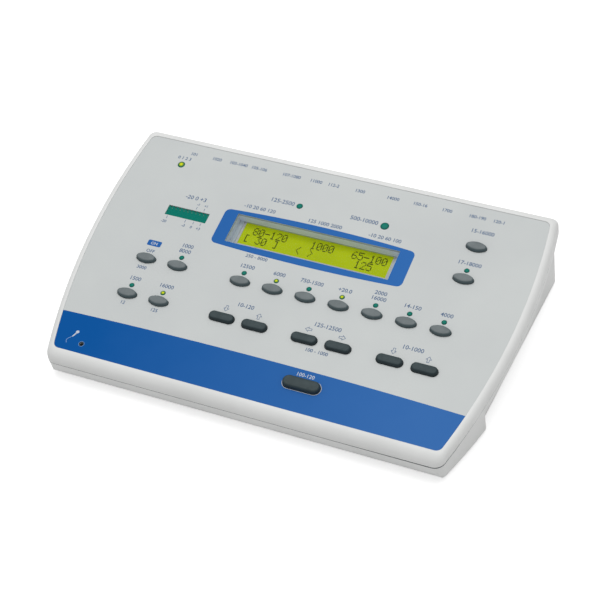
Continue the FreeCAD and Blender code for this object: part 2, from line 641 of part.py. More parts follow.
def jack_nut(u, size):
    """Hexagon nut on a jack's collar, seated on the rear wall."""
    n = BOARD_N + size["axis_height"]
    reach = size["nut_half"] / math.cos(math.pi / 6)
    corners = [V3(u + reach * math.cos(k * math.pi / 3), REAR_V,
                  n + reach * math.sin(k * math.pi / 3)) for k in range(7)]
    nut = Part.Face(Part.makePolygon(corners)).extrude(V3(0, NUT_THICK, 0))
    return nut.cut(rearward(u, n, size["collar_radius"] + THREAD_GAP, REAR_V - PAST,
                            REAR_V + NUT_THICK + PAST))


def usb_socket():
    """Square type-B receptacle, its mouth flush with the rear wall."""
    u, depth = USB["u"], USB["depth"]
    middle_n = BOARD_N + USB["height"] / 2
    body = block(u, REAR_V - USB["length"] / 2, USB["width"], USB["length"],
                 BOARD_N, BOARD_N + USB["height"])
    mouth = block(u, REAR_V + (PAST - depth) / 2, USB["mouth_u"], depth + PAST,
                  middle_n - USB["mouth_n"] / 2, middle_n + USB["mouth_n"] / 2)
    tongue = block(u, REAR_V - CORE_BACK - depth / 2, USB["tongue_u"], depth,
                   middle_n - USB["tongue_n"] / 2, middle_n + USB["tongue_n"] / 2)
    return joined([body.cut(mouth), tongue])


def data_socket():
    """Round miniature DIN receptacle with its keyed ring and pin block."""
    u, n = DATA["u"], BOARD_N + DATA["height"] / 2
    floor = REAR_V - DATA["depth"]
    body = block(u, SOCKET_BACK - DATA["length"] / 2, DATA["width"], DATA["length"],
                 BOARD_N, BOARD_N + DATA["height"])
    shell = rearward(u, n, DATA["shell_radius"], SOCKET_BACK - ROOT, REAR_V)
    ring = rearward(u, n, DATA["ring_radius"], floor, REAR_V + PAST)
    core = rearward(u, n, DATA["core_radius"], floor - PAST, REAR_V - CORE_BACK)
    return joined([body, shell]).cut(ring.cut(core))


def power_socket():
    """Low-voltage inlet with its centre pin."""
    u, n = POWER["u"], BOARD_N + POWER["height"] / 2
    floor = REAR_V - POWER["depth"]
    body = block(u, REAR_V - POWER["length"] / 2, POWER["width"], POWER["length"],
                 BOARD_N, BOARD_N + POWER["height"])
    bore = rearward(u, n, POWER["bore_radius"], floor, REAR_V + PAST)
    pin = rearward(u, n, POWER["pin_radius"], floor - ROOT, REAR_V - CORE_BACK)
    return joined([body.cut(bore), pin])


def rear_openings():
    """Openings in the rear wall for the sockets, each with its clearance."""
    low, high = SOCKET_BACK - PAST, REAR_V + PAST
    middle, length = (low + high) / 2, high - low
    cuts = []
    for places, size in ((LARGE_JACKS, LARGE_JACK), (SMALL_JACKS, SMALL_JACK)):
        n, radius = BOARD_N + size["axis_height"], size["collar_radius"] + FIT_GAP
        cuts += [rearward(u, n, radius, low, high) for u in places]
    for size in (USB, POWER):
        cuts.append(block(size["u"], middle, size["width"] + 2 * SOCKET_GAP, length,
                          BOARD_N - SOCKET_GAP, BOARD_N + size["height"] + SOCKET_GAP))
    cuts.append(rearward(DATA["u"], BOARD_N + DATA["height"] / 2, DATA["shell_radius"] + FIT_GAP,
                         low, high))
    return cuts


# ---- Boards and what they carry -----------------------------------------------------------
def screw(u, v, n_head, radius, head, head_height, length, direction):
    """Pan-head screw whose head seats at n_head; direction is the way the shank goes."""
    axis = V3(0, 0, direction)
    cap = Part.makeCylinder(head, head_height, V3(u, v, n_head), axis * -1)
    shank = Part.makeCylinder(radius, length, V3(u, v, n_head), axis)
    return joined([cap, shank])


def small_screw(u, v, n_head, direction):
    return screw(u, v, n_head, SCREW_RADIUS, SCREW_HEAD, SCREW_HEAD_HEIGHT, SCREW_LENGTH,
                 direction)


def view_block(size_u, size_v, n_low, n_high):
    """Box centred on the display's viewing area."""
    return block(LAYOUT_U, VIEW_MIDDLE_V, size_u, size_v, n_low, n_high)


def keypad_board():
    """Circuit board under the deck, cut away round the display module."""
    depth = BOARD_V[1] - BOARD_V[0]
    board = block(0, BOARD_V[0] + depth / 2, 2 * BOARD_HALF_U, depth, KEYPAD_LOW, KEYPAD_TOP)
    cuts = [view_block(LCD_BOARD_U + 2 * CUTOUT_GAP, LCD_BOARD_V + 2 * CUTOUT_GAP,
                       KEYPAD_LOW - PAST, KEYPAD_TOP + PAST)]
    cuts += [post(u, v, SCREW_RADIUS + FIT_GAP, KEYPAD_LOW - PAST, KEYPAD_TOP + PAST)
             for u, v in keypad_posts()]
    return board.cut(group(cuts))


def lcd_board():
    board = view_block(LCD_BOARD_U, LCD_BOARD_V, LCD_BOARD_TOP - BOARD, LCD_BOARD_TOP)
    return board.cut(group([post(u, v, SCREW_RADIUS + FIT_GAP, LCD_BOARD_TOP - BOARD - PAST,
                                 LCD_BOARD_TOP + PAST) for u, v in lcd_holes()]))


def lcd_glass():
    return view_block(VIEW_U + 2 * GLASS_BORDER, VIEW_V + 2 * GLASS_BORDER, LCD_BOARD_TOP,
                      GLASS_TOP)


def lcd_shield():
    """Folded steel frame that clamps the display glass to its board."""
    room_u = VIEW_U + 2 * (GLASS_BORDER + FIT_GAP)
    room_v = VIEW_V + 2 * (GLASS_BORDER + FIT_GAP)
    outer = view_block(room_u + 2 * SHIELD_SHEET, room_v + 2 * SHIELD_SHEET, LCD_BOARD_TOP,
                       -DISPLAY_DEPTH)
    room = view_block(room_u, room_v, LCD_BOARD_TOP - PAST, GLASS_TOP)
    return outer.cut(room).cut(view_block(VIEW_U, VIEW_V, GLASS_TOP - PAST, 0))


def display_frame():
    """Grey frame from the window down to the display: walls of the well, a narrow ledge."""
    ledge_top = -DISPLAY_DEPTH + LEDGE
    outer = window_block(FRAME_WALL, -DISPLAY_DEPTH, PLATE_LOW)
    bezel = view_block(VIEW_U + 2 * BEZEL_SHOWN, VIEW_V + 2 * BEZEL_SHOWN,
                       -DISPLAY_DEPTH - PAST, 0)
    return outer.cut(window_block(0, ledge_top, 0)).cut(bezel.common(window_block(0, -DEEP, 0)))


def panel_overlay():
    """Printed film over the whole deck, with openings for keys, LEDs and windows."""
    film = bowed_prism(-FILM, 0, 0, 0, 0)
    return film.cut(group(panel_holes()))


def main_board():
    depth = SOCKET_BACK - FIT_GAP - MAIN_FRONT_V
    board = block(0, MAIN_FRONT_V + depth / 2, 2 * MAIN_HALF_U, depth, BOARD_N - BOARD, BOARD_N)
    return board.cut(group([post(u, v, SCREW_RADIUS + FIT_GAP, BOARD_N - BOARD - PAST,
                                 BOARD_N + PAST) for u, v in main_holes()]))


def board_chips():
    """Processor, converters, amplifiers and reservoir capacitors on the main board."""
    chips = [block(u, MAIN_FRONT_V + behind, size_u, size_v, BOARD_N, BOARD_N + height)
             for u, behind, size_u, size_v, height in CHIPS]
    chips += [post(u, MAIN_FRONT_V + CAPACITORS_BEHIND, CAPACITOR_RADIUS, BOARD_N,
                   BOARD_N + CAPACITOR_HEIGHT) for u in CAPACITORS_U]
    return group(chips)


def board_connector():
    """Tall stacking header between the keypad board and the main board."""
    return block(CONNECTOR_U, MAIN_FRONT_V + CONNECTOR_BEHIND, CONNECTOR_LENGTH, CONNECTOR_WIDTH,
                 BOARD_N, KEYPAD_LOW)


def microphone():
    return post(MIC_U, MIC_V, MIC_RADIUS, DECK_LOW - BOOT_FRONT - MIC_HEIGHT, DECK_LOW - BOOT_FRONT)


def microphone_boot():
    """Rubber cup that holds the capsule behind its hole in the deck."""
    cup = post(MIC_U, MIC_V, MIC_RADIUS + BOOT_WALL, DECK_LOW - BOOT_FRONT - MIC_HEIGHT, DECK_LOW)
    cup = cup.cut(microphone())
    return cup.cut(post(MIC_U, MIC_V, MIC_HOLE, DECK_LOW - BOOT_FRONT - PAST, DECK_LOW + PAST))


def foot(x, y):
    """Stick-on rubber foot in its recess, slightly tapered."""
    shape = Part.makeCone(FOOT_RADIUS - FOOT_TAPER, FOOT_RADIUS, FOOT_PROUD + FOOT_RECESS,
                          V3(x, y, -FOOT_PROUD))
    shape.Placement = LEVEL.inverse().multiply(shape.Placement)
    return shape


# ---- Assembly -----------------------------------------------------------------------------
nodes = {
    "top_case": top_case(),
    "base_case": base_case(),
    "panel_overlay": panel_overlay(),
    "display_window": window_block(WINDOW_MARGIN, PLATE_LOW, DECK_TOP),
    "display_frame": display_frame(),
    "lcd_glass": lcd_glass(),
    "lcd_shield": lcd_shield(),
    "lcd_board": lcd_board(),
    "meter_window": block(METER_MIDDLE_U, METER_MIDDLE_V, METER_U + 2 * METER_MARGIN,
                          METER_V + 2 * METER_MARGIN, PLATE_LOW, DECK_TOP),
    "meter_bargraph": block(METER_MIDDLE_U, METER_MIDDLE_V, METER_U, METER_V,
                            KEYPAD_TOP, -METER_DEPTH),
    "keypad_board": keypad_board(),
    "key_switches": group([key_switch(u, v) for _, _, u, v, _, _, _ in key_list()]),
    "indicator_leds": group([led(u, v, LED_RADIUS) for u, v in led_places(UNLIT_KEYS)]),
    "lit_leds": group([led(u, v, LED_RADIUS) for u, v in led_places(LIT_KEYS)]),
    "microphone": microphone(),
    "microphone_boot": microphone_boot(),
    "main_board": main_board(),
    "board_chips": board_chips(),
    "board_connector": board_connector(),
    "usb_socket": usb_socket(),
    "data_socket": data_socket(),
    "power_socket": power_socket(),
    "large_jacks": group([jack(u, LARGE_JACK) for u in LARGE_JACKS]),
    "small_jacks": group([jack(u, SMALL_JACK) for u in SMALL_JACKS]),
    "large_jack_nuts": group([jack_nut(u, LARGE_JACK) for u in LARGE_JACKS]),
    "small_jack_nuts": group([jack_nut(u, SMALL_JACK) for u in SMALL_JACKS]),
    "keypad_screws": group([small_screw(u, v, KEYPAD_LOW, 1) for u, v in keypad_posts()]),
    "lcd_screws": group([small_screw(u, v, LCD_BOARD_TOP - BOARD, 1) for u, v in lcd_holes()]),
    "main_board_screws": group([small_screw(u, v, BOARD_N, -1) for u, v in main_holes()]),
    "case_screws": group([screw(u, v, -PILLAR_MEET - SEAT, CASE_SCREW_RADIUS, CASE_HEAD,
                                CASE_HEAD_HEIGHT, CASE_SCREW_LENGTH, 1) for u, v in pillars()]),
}
for name, face, u, v, size_u, size_v, proud in key_list():
    nodes[name] = key_cap(face, u, v, size_u, size_v, proud)
for name, (u, v, radius) in SINGLE_LEDS.items():
    nodes[name] = led(u, v, radius)
for name, (x, y) in feet_places().items():
    nodes[name] = foot(x, y)

# Stand the console on its feet, with the origin under the middle of its bounding box.
for shape in nodes.values():
    shape.Placement = LEVEL.multiply(shape.Placement)
extent = group(list(nodes.values())).optimalBoundingBox()
to_origin = FreeCAD.Placement(V3(0, -extent.Center.y, -extent.ZMin), FreeCAD.Rotation())
os.makedirs("parts", exist_ok=True)
for name, shape in nodes.items():
    shape.Placement = to_origin.multiply(shape.Placement)
    shape.exportStep(f"parts/{name}.step")
    solids = shape.Solids
    print(f"{name:20s} solids {len(solids):2d} valid {shape.isValid()} volume {shape.Volume:9.1f}")
print("moved back and up by", -extent.Center.y, -extent.ZMin)
print("size", extent.XLength, extent.YLength, extent.ZLength)
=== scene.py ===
import bpy
import bmesh
import json
import math
import numpy as np
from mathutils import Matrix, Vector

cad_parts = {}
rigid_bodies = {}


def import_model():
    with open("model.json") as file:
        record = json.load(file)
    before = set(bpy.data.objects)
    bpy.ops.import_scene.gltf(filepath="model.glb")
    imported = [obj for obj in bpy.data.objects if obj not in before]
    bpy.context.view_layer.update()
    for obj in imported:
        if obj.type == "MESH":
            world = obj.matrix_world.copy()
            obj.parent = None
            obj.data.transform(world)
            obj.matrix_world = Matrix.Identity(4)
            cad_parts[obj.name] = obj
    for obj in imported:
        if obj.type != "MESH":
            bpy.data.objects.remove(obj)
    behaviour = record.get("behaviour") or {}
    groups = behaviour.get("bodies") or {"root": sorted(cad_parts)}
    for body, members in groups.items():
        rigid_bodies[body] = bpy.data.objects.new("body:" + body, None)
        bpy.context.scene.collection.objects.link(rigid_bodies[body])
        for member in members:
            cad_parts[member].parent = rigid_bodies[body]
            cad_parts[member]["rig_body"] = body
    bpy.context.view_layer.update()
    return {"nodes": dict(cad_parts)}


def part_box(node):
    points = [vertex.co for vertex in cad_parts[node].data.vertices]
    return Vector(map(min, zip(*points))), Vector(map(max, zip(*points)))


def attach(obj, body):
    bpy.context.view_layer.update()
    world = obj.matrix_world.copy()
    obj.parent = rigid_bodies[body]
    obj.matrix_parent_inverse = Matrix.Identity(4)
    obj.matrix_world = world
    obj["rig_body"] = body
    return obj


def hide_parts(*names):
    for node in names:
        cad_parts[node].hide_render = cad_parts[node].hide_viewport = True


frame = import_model()

# ---- Upper case moulding -------------------------------------------------------------------
# Injection-moulded ABS in warm white, with a fine spark-eroded mould texture: a soft bull nose at
# the front, tighter rounding at the sides and rear, and a shallow recess for the film. Screws
# from below hold it to the base, and a narrow shadow gap runs between the two.

# All lengths are in millimetres in the panel's own plane: U across, V up the slope, N out of it.
# The panel's depth and half its width, the V at which it is widest, and the bow of its sides.
TILT = math.radians(14)
PANEL_DEPTH, HALF_WIDTH, WIDEST_V, SIDE_BOW = 161.0, 130.9, 107.7, 406.0
# The film's thickness, and N of the deck's underside, window seat, rim and parting line.
FILM, DECK_LOW, PLATE_LOW, RIM_PROUD, PARTING = 0.5, -3.0, -1.5, 0.299, -6.0
# How far the rim stands out beyond the panel: its flat, sides, rear and nose, and their rounding.
RIM_FLAT, RIM_SIDE, RIM_REAR, NOSE, SIDE_ROUND = 0.35, 4.3, 5.2, 7.49, 4.0
PANEL_CORNER, FRONT_CORNER, REAR_CORNER = 4.0, 6.5, 4.5
film_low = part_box("panel_overlay")[0]
FRONT_Y = film_low[1] * 1000
FRONT_Z = film_low[2] * 1000 + FILM * math.cos(TILT)


def on_slope(u, v, n):
    """Panel millimetres to metres: U across, V up the slope, N out of it, turned back by TILT."""
    u, v, n = np.broadcast_arrays(u, v, n)
    y = FRONT_Y + v * math.cos(TILT) - n * math.sin(TILT)
    z = FRONT_Z + v * math.sin(TILT) + n * math.cos(TILT)
    return np.stack([u, y, z], -1) / 1000


def linear(hex_colour):
    """sRGB hex to linear colour: each channel through the sRGB curve."""
    value = np.array([int(hex_colour[i:i + 2], 16) / 255 for i in (0, 2, 4)])
    value = np.where(value <= 0.04045, value / 12.92, ((value + 0.055) / 1.055) ** 2.4)
    return (*value.tolist(), 1.0)


def node(material, kind, inputs=None, **settings):
    """Adds one shader node, with its settings, and its inputs as values or as links."""
    made = material.node_tree.nodes.new("ShaderNode" + kind)
    for key, value in settings.items():
        setattr(made, key, value)
    for socket, value in (inputs or {}).items():
        if isinstance(value, bpy.types.NodeSocket):
            material.node_tree.links.new(value, made.inputs[socket])
        else:
            made.inputs[socket].default_value = value
    return made


NOISE_LOW, NOISE_HIGH = 0.3, 0.7


def moulded(name, dark, light, patch_mm, grain_mm, grain_depth_mm, roughness, spread=0.06,
            ior=1.5, metallic=0.0):
    """Moulded plastic: two near colours in soft patches, and a fine grain in bump and gloss. The
    same makes a plated or printed face. The noise lies mostly from NOISE_LOW to NOISE_HIGH."""
    material = bpy.data.materials.new(name)
    material.use_nodes = True
    shader = material.node_tree.nodes["Principled BSDF"]
    place = node(material, "TexCoord").outputs["Object"]
    patches = node(material, "TexNoise", {"Vector": place, "Scale": 1000 / patch_mm,
                                          "Detail": 3.0, "Roughness": 0.6})
    grain = node(material, "TexNoise", {"Vector": place, "Scale": 1000 / grain_mm,
                                        "Detail": 2.0})
    tint = node(material, "ValToRGB", {"Fac": patches.outputs["Fac"]})
    stops = tint.color_ramp.elements
    stops[0].position, stops[1].position = NOISE_LOW, NOISE_HIGH
    stops[0].color, stops[1].color = linear(dark), linear(light)
    gloss = node(material, "MapRange", {"Value": grain.outputs["Fac"], "From Min": NOISE_LOW,
                                        "From Max": NOISE_HIGH, "To Min": roughness - spread,
                                        "To Max": roughness + spread})
    bump = node(material, "Bump", {"Height": grain.outputs["Fac"], "Strength": 1.0,
                                   "Distance": grain_depth_mm / 1000})
    links = material.node_tree.links
    links.new(tint.outputs["Color"], shader.inputs["Base Color"])
    links.new(gloss.outputs["Result"], shader.inputs["Roughness"])
    links.new(bump.outputs["Normal"], shader.inputs["Normal"])
    shader.inputs["IOR"].default_value = ior
    shader.inputs["Metallic"].default_value = metallic
    return material


def piece(name, points, faces, material, body, replaced=(), slot=None, sharp=40, reach=None):
    """A finished piece from points in metres and faces: outward normals, smooth but for creases.
    reach, one value for each point, is kept as an attribute that the material reads."""
    mesh = bpy.data.meshes.new(name)
    mesh.from_pydata(np.asarray(points).reshape(-1, 3).tolist(), [], faces)
    if reach is not None:
        mesh.attributes.new("reach", "FLOAT", "POINT").data.foreach_set("value", reach)
    work = bmesh.new()
    work.from_mesh(mesh)
    bmesh.ops.remove_doubles(work, verts=work.verts, dist=1e-7)
    bmesh.ops.recalc_face_normals(work, faces=work.faces)
    work.to_mesh(mesh)
    work.free()
    mesh.polygons.foreach_set("use_smooth", [True] * len(mesh.polygons))
    mesh.set_sharp_from_angle(angle=math.radians(sharp))
    made = bpy.data.objects.new(name, mesh)
    bpy.context.scene.collection.objects.link(made)
    mesh.materials.append(material)
    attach(made, body)
    if replaced:
        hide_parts(*replaced)


def tube_faces(rows, around, ends=True):
    """Quads of a grid of rows closed round its second way, with a flat face on each end row."""
    first = np.arange(rows - 1)[:, None] * around + np.arange(around)[None]
    after = np.arange(rows - 1)[:, None] * around + (np.arange(around) + 1)[None] % around
    faces = np.stack([first, after, after + around, first + around], -1).reshape(-1, 4).tolist()
    if ends:
        last = (rows - 1) * around
        faces += [list(range(around)), list(range(last, last + around))]
    return faces


# Points along half of the panel's outline: front, front corner, side, rear corner and rear.
OUTLINE_STEPS = 24, 12, 64, 10, 24


def bowed_outline(side, front, rear, front_corner, rear_corner):
    """Panel outline moved out by side, front and rear, one row for each set of offsets.

    Half of it is a straight front, an arc of front_corner, the side's arc of SIDE_BOW + side,
    an arc of rear_corner and a straight rear; the other half is its mirror image.
    """
    side, front, rear, front_corner, rear_corner = [
        np.atleast_1d(np.asarray(value, float))[:, None]
        for value in np.broadcast_arrays(side, front, rear, front_corner, rear_corner)]
    bow, middle = SIDE_BOW + side, HALF_WIDTH - SIDE_BOW
    low_v = front_corner - front - WIDEST_V
    high_v = PANEL_DEPTH + rear - rear_corner - WIDEST_V
    low_u = np.sqrt((bow - front_corner) ** 2 - low_v ** 2)
    high_u = np.sqrt((bow - rear_corner) ** 2 - high_v ** 2)
    low_turn, high_turn = np.arctan2(low_v, low_u), np.arctan2(high_v, high_u)
    straight, round_front, bowed, round_rear, back = [
        np.linspace(0, 1, count, endpoint=False)[None] for count in OUTLINE_STEPS]
    turn = -np.pi / 2 + round_front * (low_turn + np.pi / 2)
    u = [straight * (middle + low_u), middle + low_u + front_corner * np.cos(turn)]
    v = [-front + 0 * straight, WIDEST_V + low_v + front_corner * np.sin(turn)]
    turn = low_turn + bowed * (high_turn - low_turn)
    u.append(middle + bow * np.cos(turn))
    v.append(WIDEST_V + bow * np.sin(turn))
    turn = high_turn + round_rear * (np.pi / 2 - high_turn)
    u.append(middle + high_u + rear_corner * np.cos(turn))
    v.append(WIDEST_V + high_v + rear_corner * np.sin(turn))
    u.append((1 - back) * (middle + high_u))
    v.append(PANEL_DEPTH + rear + 0 * back)
    u, v = np.concatenate(u, 1), np.concatenate(v, 1)
    u = np.concatenate([u, np.zeros((len(u), 1)), -u[:, :0:-1]], 1)
    v = np.concatenate([v, PANEL_DEPTH + rear, v[:, :0:-1]], 1)
    return u, v


def plate(name, loops, n_low, n_high):
    """Points and faces of a flat plate of the given outlines, holes included, between two N."""
    curve = bpy.data.curves.new(name, "CURVE")
    curve.dimensions, curve.fill_mode = "2D", "BOTH"
    curve.extrude = (n_high - n_low) / 2
    for loop in loops:
        spline = curve.splines.new("POLY")
        spline.points.add(len(loop) - 1)
        flat = np.zeros((len(loop), 4))
        flat[:, :2], flat[:, 3] = loop, 1
        spline.points.foreach_set("co", flat.ravel())
        spline.use_cyclic_u = True
    return curve_points(curve, n_low, n_high)


def curve_points(curve, n_low, n_high):
    """Filled flat curve, drawn in panel millimetres, to points on the slope and its faces."""
    holder = bpy.data.objects.new(curve.name, curve)
    mesh = bpy.data.meshes.new_from_object(holder)
    flat = np.zeros(len(mesh.vertices) * 3)
    mesh.vertices.foreach_get("co", flat)
    flat = flat.reshape(-1, 3)
    faces = [list(face.vertices) for face in mesh.polygons]
    bpy.data.objects.remove(holder)
    return on_slope(flat[:, 0], flat[:, 1], flat[:, 2] + (n_low + n_high) / 2), faces


def merged(parts):
    """Several (points, faces) as one."""
    points, faces, start = [], [], 0
    for some_points, some_faces in parts:
        some_points = np.asarray(some_points).reshape(-1, 3)
        faces += [[index + start for index in face] for face in some_faces]
        points.append(some_points)
        start += len(some_points)
    return np.concatenate(points), faces


KEY_POINTS, OVAL_END = 72, 0.62


def circle(u, v, radius, count=32):
    """Circle in plan: its centre, plus the radius times cosine and sine of the turn."""
    turn = np.arange(count) / count * 2 * np.pi
    return np.stack([u + radius * np.cos(turn), v + radius * np.sin(turn)], 1)


def oval(u, v, size_u, size_v):
    """Oval of four arcs: ends of radius r = OVAL_END * half_v, and wide ones of radius
    R = (half_u^2 + half_v^2 - 2 half_u r) / (2 (half_v - r)), which run into them."""
    half_u, half_v = size_u / 2, size_v / 2
    end = OVAL_END * half_v
    wide = (half_u ** 2 + half_v ** 2 - 2 * half_u * end) / (2 * (half_v - end))
    lean = np.arctan2(half_u - end, wide - half_v)
    step = np.linspace(0, 1, KEY_POINTS // 4, endpoint=False)
    round_end = (2 * step - 1) * (np.pi / 2 - lean)
    along_top = np.pi / 2 + (2 * step - 1) * lean
    half = np.concatenate([
        np.stack([half_u - end + end * np.cos(round_end), end * np.sin(round_end)], 1),
        np.stack([wide * np.cos(along_top), wide * np.sin(along_top) - wide + half_v], 1)])
    return np.concatenate([half, -half]) + [u, v]


def pill(u, v, size_u, size_v):
    """Slot shape in plan: two half circles of half the width, joined by straight sides."""
    turn = (np.arange(KEY_POINTS) + 0.5) / KEY_POINTS * 2 * np.pi
    radius = size_v / 2
    return np.stack([u + np.sign(np.cos(turn)) * (size_u / 2 - radius) + radius * np.cos(turn),
                     v + radius * np.sin(turn)], 1)


def rounded(u, v, size_u, size_v, radius, count=8):
    """Rectangle in plan with round corners: four quarter circles, each with its centre set in
    from a corner by the radius both ways."""
    turn = np.linspace(0, np.pi / 2, count)[None] + np.arange(4)[:, None] * np.pi / 2
    side_u, side_v = np.array([1, -1, -1, 1])[:, None], np.array([1, 1, -1, -1])[:, None]
    return np.stack([(u + side_u * (size_u / 2 - radius) + radius * np.cos(turn)).ravel(),
                     (v + side_v * (size_v / 2 - radius) + radius * np.sin(turn)).ravel()], 1)


def textured_abs(name):
    """ABS out of a textured mould gives the eye an even warm white with a dull sheen. The grain
    is drawn at 0.5 mm, coarser than the real one, so that it shows."""
    return moulded(name, "DEDFDE", "E7E8E7", patch_mm=45, grain_mm=0.5, grain_depth_mm=0.012,
                   roughness=0.5)


white_abs = textured_abs("textured_white_abs")

# Where the keys stand, in U and V. Their grid is 0.8 inch, apart from the two talk keys.
LAYOUT_U, PITCH, ROW_A, ROW_B = 0.3, 20.32, 72.3, 45.9
MENU_U, TALK_U = LAYOUT_U - 4.5 * PITCH + 0.4, LAYOUT_U + 4.5 * PITCH + 0.6
TALKOVER_V = PANEL_DEPTH - 28.3
TALKBACK_V = (ROW_A + TALKOVER_V) / 2 + 6.9
OVALS = {"on_off_key": (MENU_U, ROW_A), "test_menu_key": (MENU_U + PITCH, ROW_A),
         "left_key": (MENU_U, ROW_B), "right_key": (MENU_U + PITCH, ROW_B),
         "talkback_key": (TALK_U, TALKBACK_V), "talkover_key": (TALK_U, TALKOVER_V)}
for place, name in enumerate(["pulse", "mask", "constant", "boost", "free_field", "speech",
                              "bone"]):
    OVALS[name + "_key"] = (LAYOUT_U + (place - 1.5) * PITCH, ROW_A)
PILLS = {name + "_key": (LAYOUT_U + column * PITCH, ROW_B) for name, column in
         [("signal_down", -1.5), ("signal_up", -0.5), ("frequency_down", 1.0),
          ("frequency_up", 2.0), ("masking_down", 3.5), ("masking_up", 4.5)]}
PRESENT = (LAYOUT_U + 1.5 * PITCH, 17.0)
OVAL_SIZE, PILL_SIZE, PRESENT_SIZE, KEY_GAP = (12.3, 6.4), (15.5, 5.9), (22.2, 7.5), 0.25

# The two windows as U, V, width and depth, with how far the deck is cut back round them.
WINDOW, METER, WINDOW_CORNER = (LAYOUT_U, 107.7, 102.2, 21.0), (-80.9, 109.5, 26.9, 7.3), 0.05
WINDOW_SEAT, METER_SEAT, FRAME_ROOM = 2.75, 1.65, 1.35

# The lamps: how far over its key each one stands, which are lit, and the single ones with radius.
LED_OFFSET, LED_RADIUS, LED_GAP = 6.3, 1.5, 0.1
UNLIT = ["test_menu_key", "pulse_key", "constant_key", "free_field_key", "speech_key",
         "bone_key", "left_key", "talkback_key"]
LIT = ["mask_key", "boost_key", "right_key"]
SINGLE_LEDS = {"present_led": (-17.5, WINDOW[1] + 25.6, 1.9),
               "response_led": (36.4, WINDOW[1] + 25.3, 2.5),
               "power_led": (MENU_U - 9.7, PANEL_DEPTH - 17.1, 2.2)}
MIC, MIC_HOLE = (29.7 - HALF_WIDTH, 6.2), 1.0


def window_edge(window, grow=0.0):
    """Outline of a window, moved out by grow."""
    u, v, size_u, size_v = window
    return rounded(u, v, size_u + 2 * grow, size_v + 2 * grow, WINDOW_CORNER, 2)


def openings(window_grow, meter_grow):
    """Outlines of every opening in the deck: keys, lights, microphone and the two windows."""
    gap = 2 * KEY_GAP
    loops = [oval(u, v, OVAL_SIZE[0] + gap, OVAL_SIZE[1] + gap) for u, v in OVALS.values()]
    loops += [pill(u, v, PILL_SIZE[0] + gap, PILL_SIZE[1] + gap) for u, v in PILLS.values()]
    loops.append(pill(*PRESENT, PRESENT_SIZE[0] + gap, PRESENT_SIZE[1] + gap))
    for name in UNLIT + LIT:
        u, v = OVALS[name]
        loops.append(circle(u, v + LED_OFFSET, LED_RADIUS + LED_GAP))
    loops += [circle(u, v, radius + LED_GAP, 40) for u, v, radius in SINGLE_LEDS.values()]
    loops.append(circle(*MIC, MIC_HOLE, 24))
    return loops + [window_edge(WINDOW, window_grow), window_edge(METER, meter_grow)]


# The rim's cross-section, from the film's recess over the rounding to the shadow gap, and back
# under the deck: each row is N with how far the outline moves out at side, front and rear, and
# its two corner radii. The nose is a quarter ellipse, and sides and rear a quarter circle.
RIM_ROWS, WALL, NOSE_WALL, DECK_INSET = 34, 2.5, 3.75, 2.0
GROOVE_DEEP, GROOVE_EDGE, GAP_TIGHT, GAP_OPEN = 1.3, 0.12, 0.06, 0.75
turn = np.radians(np.linspace(90, 0, RIM_ROWS))
depth = (RIM_PROUD - PARTING) * (1 - np.sin(turn))
out = np.sqrt(SIDE_ROUND ** 2 - (SIDE_ROUND - np.minimum(depth, SIDE_ROUND)) ** 2) / SIDE_ROUND
crown = np.stack([RIM_PROUD - depth, RIM_FLAT + (RIM_SIDE - RIM_FLAT) * out,
                  RIM_FLAT + (NOSE - RIM_FLAT) * np.cos(turn),
                  RIM_FLAT + (RIM_REAR - RIM_FLAT) * out,
                  PANEL_CORNER + (FRONT_CORNER - PANEL_CORNER) * out,
                  PANEL_CORNER + (REAR_CORNER - PANEL_CORNER) * out], 1)
crown = crown[crown[:, 0] > PARTING + GAP_OPEN + GROOVE_EDGE]
recess = [(-FILM, 0.04, 0.1, 0.15), (0.12, 0.04, 0.1, 0.15), (0.23, 0.08, 0.14, 0.18),
          (0.29, 0.18, 0.22, 0.26)]
recess = np.array([(*row, PANEL_CORNER, PANEL_CORNER) for row in recess])
# The groove's edge and its roof, which are lifted later by the gap, and its inner foot.
groove = [(PARTING + GROOVE_EDGE, 0), (PARTING, GROOVE_EDGE), (PARTING, GROOVE_DEEP),
          (PARTING, GROOVE_DEEP)]
groove = np.array([(n, RIM_SIDE - deep, crown[-1, 2] - deep, RIM_REAR - deep, FRONT_CORNER,
                    REAR_CORNER) for n, deep in groove])
inside = RIM_SIDE - WALL, NOSE - NOSE_WALL, RIM_REAR - WALL
deck_edge = -DECK_INSET, -DECK_INSET, -DECK_INSET
under = [(PARTING, *inside), (DECK_LOW, *inside), (DECK_LOW, *deck_edge), (-FILM, *deck_edge)]
under = np.array([(*row, PANEL_CORNER, PANEL_CORNER) for row in under])
rows = np.concatenate([recess, crown, groove, under, recess[:1]])
rim_u, rim_v = bowed_outline(*rows[:, 1:].T)
rim_n = np.repeat(rows[:, :1], rim_u.shape[1], 1)

